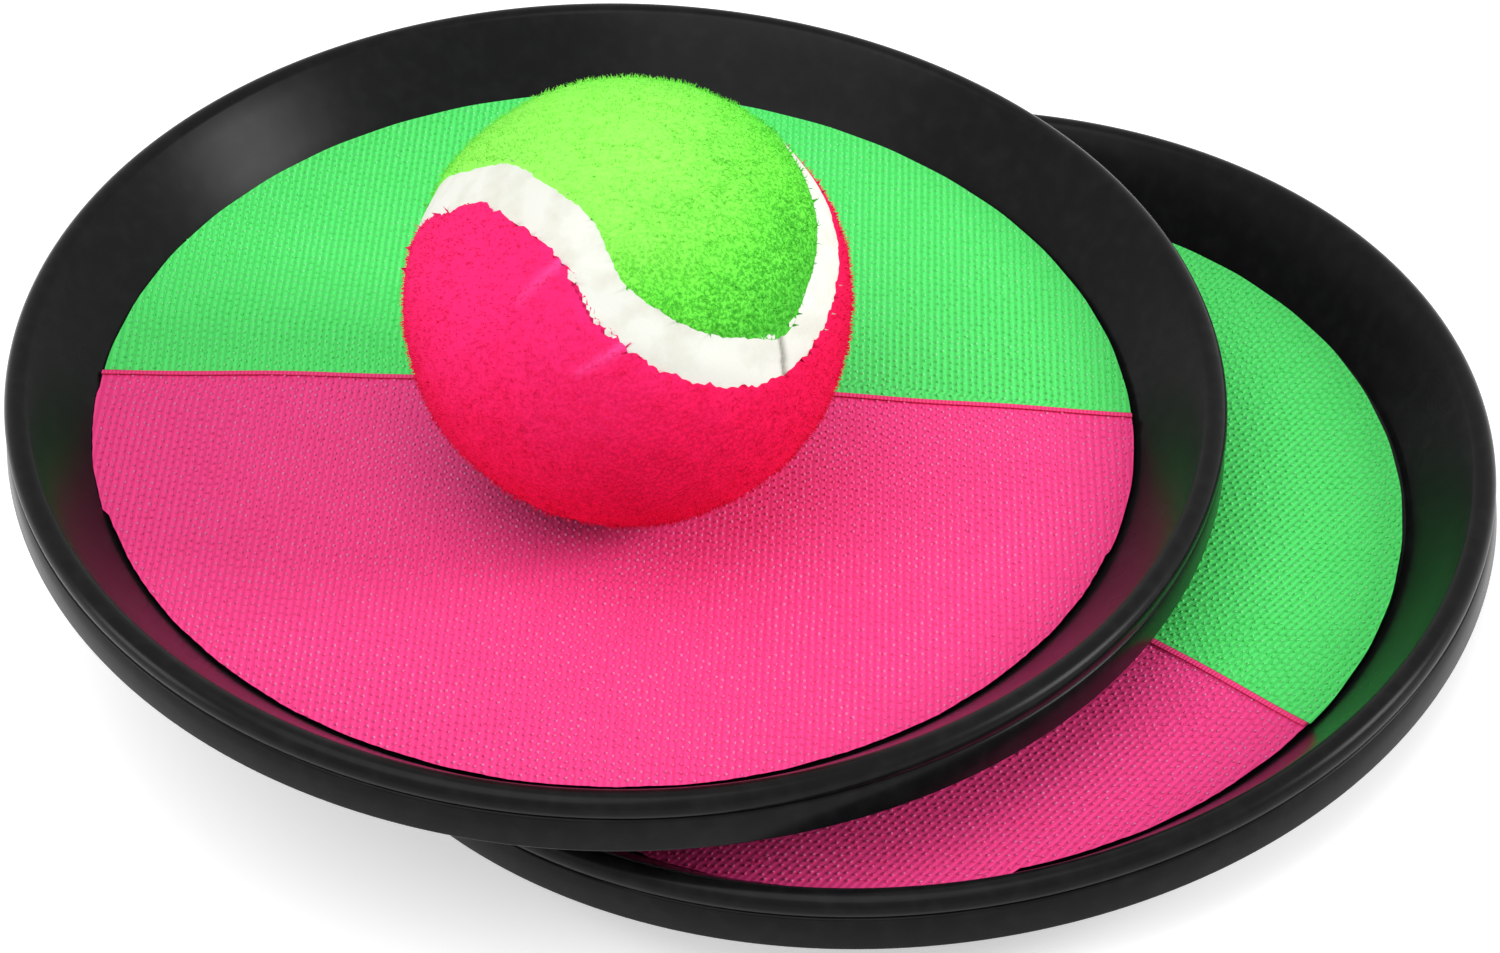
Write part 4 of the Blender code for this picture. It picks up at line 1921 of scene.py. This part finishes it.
@dataclass
class Studio:
    """Pale floor, white surroundings, soft lamps and the camera of the photograph."""

    camera_place: Triple = (0.0231, -0.4933, 0.4483)
    right: Triple = (0.9973, 0.0, -0.0737)
    up: Triple = (0.0554, 0.6589, 0.7502)
    focal_pixels: float = 4199.0
    picture: tuple[int, int] = (1500, 953)
    centre: Pair = (834.15, 478.9)
    aim: Triple = (0.0, 0.0, 0.03)
    sky: float = 0.48
    floor_glow: float = 0.45
    floor_size: float = 6.0
    floor_gap: float = 0.05 * MM

    def rays(self, tree: bpy.types.NodeTree, *kinds: str) -> Socket:
        """Picks out rays of some kinds.

        Args:
            tree: The node tree.
            kinds: Outputs of the Light Path node.

        Returns:
            1 for these rays and 0 for others.
        """
        path = add_node(tree, "LightPath")
        found = path.outputs[kinds[0]]
        for kind in kinds[1:]:
            sockets = {0: found, 1: path.outputs[kind]}
            found = add_node(tree, "Math", {"operation": "MAXIMUM"}, sockets).outputs[0]
        return found

    def floor(self) -> None:
        """Lays the pale floor, which keeps the object's shadow."""
        bpy.ops.object.select_all(action="DESELECT")
        bpy.ops.mesh.primitive_plane_add(size=self.floor_size, location=(0, 0, -self.floor_gap))
        floor = named("floor")
        material = bpy.data.materials.new("pale floor")
        material.use_nodes = True
        tree = material.node_tree
        tree.nodes.clear()
        clear = self.rays(tree, "Is Camera Ray", "Is Glossy Ray")
        paint = add_node(tree, "BsdfDiffuse", None, {"Color": linear("#F2F2F2")})
        glow = add_node(tree, "Emission", None, {"Color": linear("#FFFFFF"), "Strength": self.floor_glow})
        bright = add_node(tree, "AddShader", None, {0: paint.outputs[0], 1: glow.outputs[0]})
        mixed = add_node(tree, "MixShader", None, {0: clear, 1: paint.outputs[0], 2: bright.outputs[0]})
        add_node(tree, "OutputMaterial", None, {"Surface": mixed.outputs[0]})
        floor.data.materials.append(material)

    def surroundings(self) -> None:
        """White world for the camera and for reflections, softer for the light on the object."""
        world = bpy.data.worlds.new("white studio")
        bpy.context.scene.world = world
        world.use_nodes = True
        tree = world.node_tree
        tree.nodes.clear()
        clear = self.rays(tree, "Is Camera Ray", "Is Transmission Ray", "Is Glossy Ray")
        soft = add_node(tree, "Background", None, {"Color": linear("#FFFFFF"), "Strength": self.sky})
        white = add_node(tree, "Background", None, {"Color": linear("#FFFFFF"), "Strength": 1.0})
        mixed = add_node(tree, "MixShader", None, {0: clear, 1: soft.outputs[0], 2: white.outputs[0]})
        add_node(tree, "OutputWorld", None, {"Surface": mixed.outputs[0]})

    def lamp(self, name: str, place: Triple, size: float, power: float) -> None:
        """Hangs one soft square lamp, turned to the object.

        Args:
            name: The lamp's name.
            place: Where it hangs.
            size: Its side.
            power: Its watts.
        """
        data = bpy.data.lights.new(name, "AREA")
        data.size = size
        data.energy = power
        lamp = placed(name, data)
        lamp.location = place
        lamp.rotation_euler = (Vector(self.aim) - Vector(place)).to_track_quat("-Z", "Y").to_euler()

    def lamps(self) -> None:
        """Hangs the soft key above, and a low fill at each side for the glints on the black rims."""
        self.lamp("soft key", (-0.18, -0.32, 1.10), 0.9, 6.6)
        self.lamp("side fill", (0.98, -0.10, 0.46), 0.36, 7.0)
        self.lamp("left fill", (-0.98, -0.22, 0.30), 0.36, 3.0)

    def camera(self) -> None:
        """Sets up the camera that the photograph's outlines were fitted to."""
        data = bpy.data.cameras.new("photograph view")
        camera = placed("photograph view", data)
        right = Vector(self.right).normalized()
        up = Vector(self.up)
        up = (up - right * up.dot(right)).normalized()
        basis = Matrix((right, up, right.cross(up))).transposed().to_4x4()
        camera.matrix_world = Matrix.Translation(self.camera_place) @ basis
        wide, high = self.picture
        data.sensor_fit = "HORIZONTAL"
        data.sensor_width = 36.0
        data.lens = self.focal_pixels / wide * data.sensor_width
        data.shift_x = (wide / 2 - self.centre[0]) / wide
        data.shift_y = (self.centre[1] - high / 2) / wide
        data.clip_start = 0.01
        data.clip_end = 20.0
        bpy.context.scene.camera = camera

    def build(self) -> None:
        """Sets the whole stage."""
        bpy.context.scene.view_settings.view_transform = "Standard"
        self.floor()
        self.surroundings()
        self.lamps()
        self.camera()


def main() -> None:
    """Builds the set in order: stage, paddles, ball."""
    logging.basicConfig(level=logging.INFO, format="%(name)s: %(message)s")
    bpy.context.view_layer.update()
    Studio().build()
    palette = Palette()
    moulding = Dish().build()
    paddles = (
        Paddle(
            "lower", LOWER_POSE, seam=1.2 * MM, bulge=1.2 * MM, seed=31,
            tags=((-75.0, -36.5, 0.35), (-36.5, 18.0, -0.3)), short=(62.0, 1.6),
            strap=HandStrap("lower", 1.1 * MM, 0.0)),
        Paddle(
            "upper", UPPER_POSE, seam=4.0 * MM, bulge=2.3 * MM, seed=51,
            tags=((-181.0, -159.5, 0.3), (-159.5, -20.0, -0.35)), short=(35.0, 1.4),
            strap=HandStrap("upper", 10.2 * MM, math.tan(math.radians(6.5)))),
    )
    for paddle in paddles:
        paddle.build(moulding, palette)
    discard(moulding)
    Ball().build(palette)


if __name__ == "__main__":
    main()
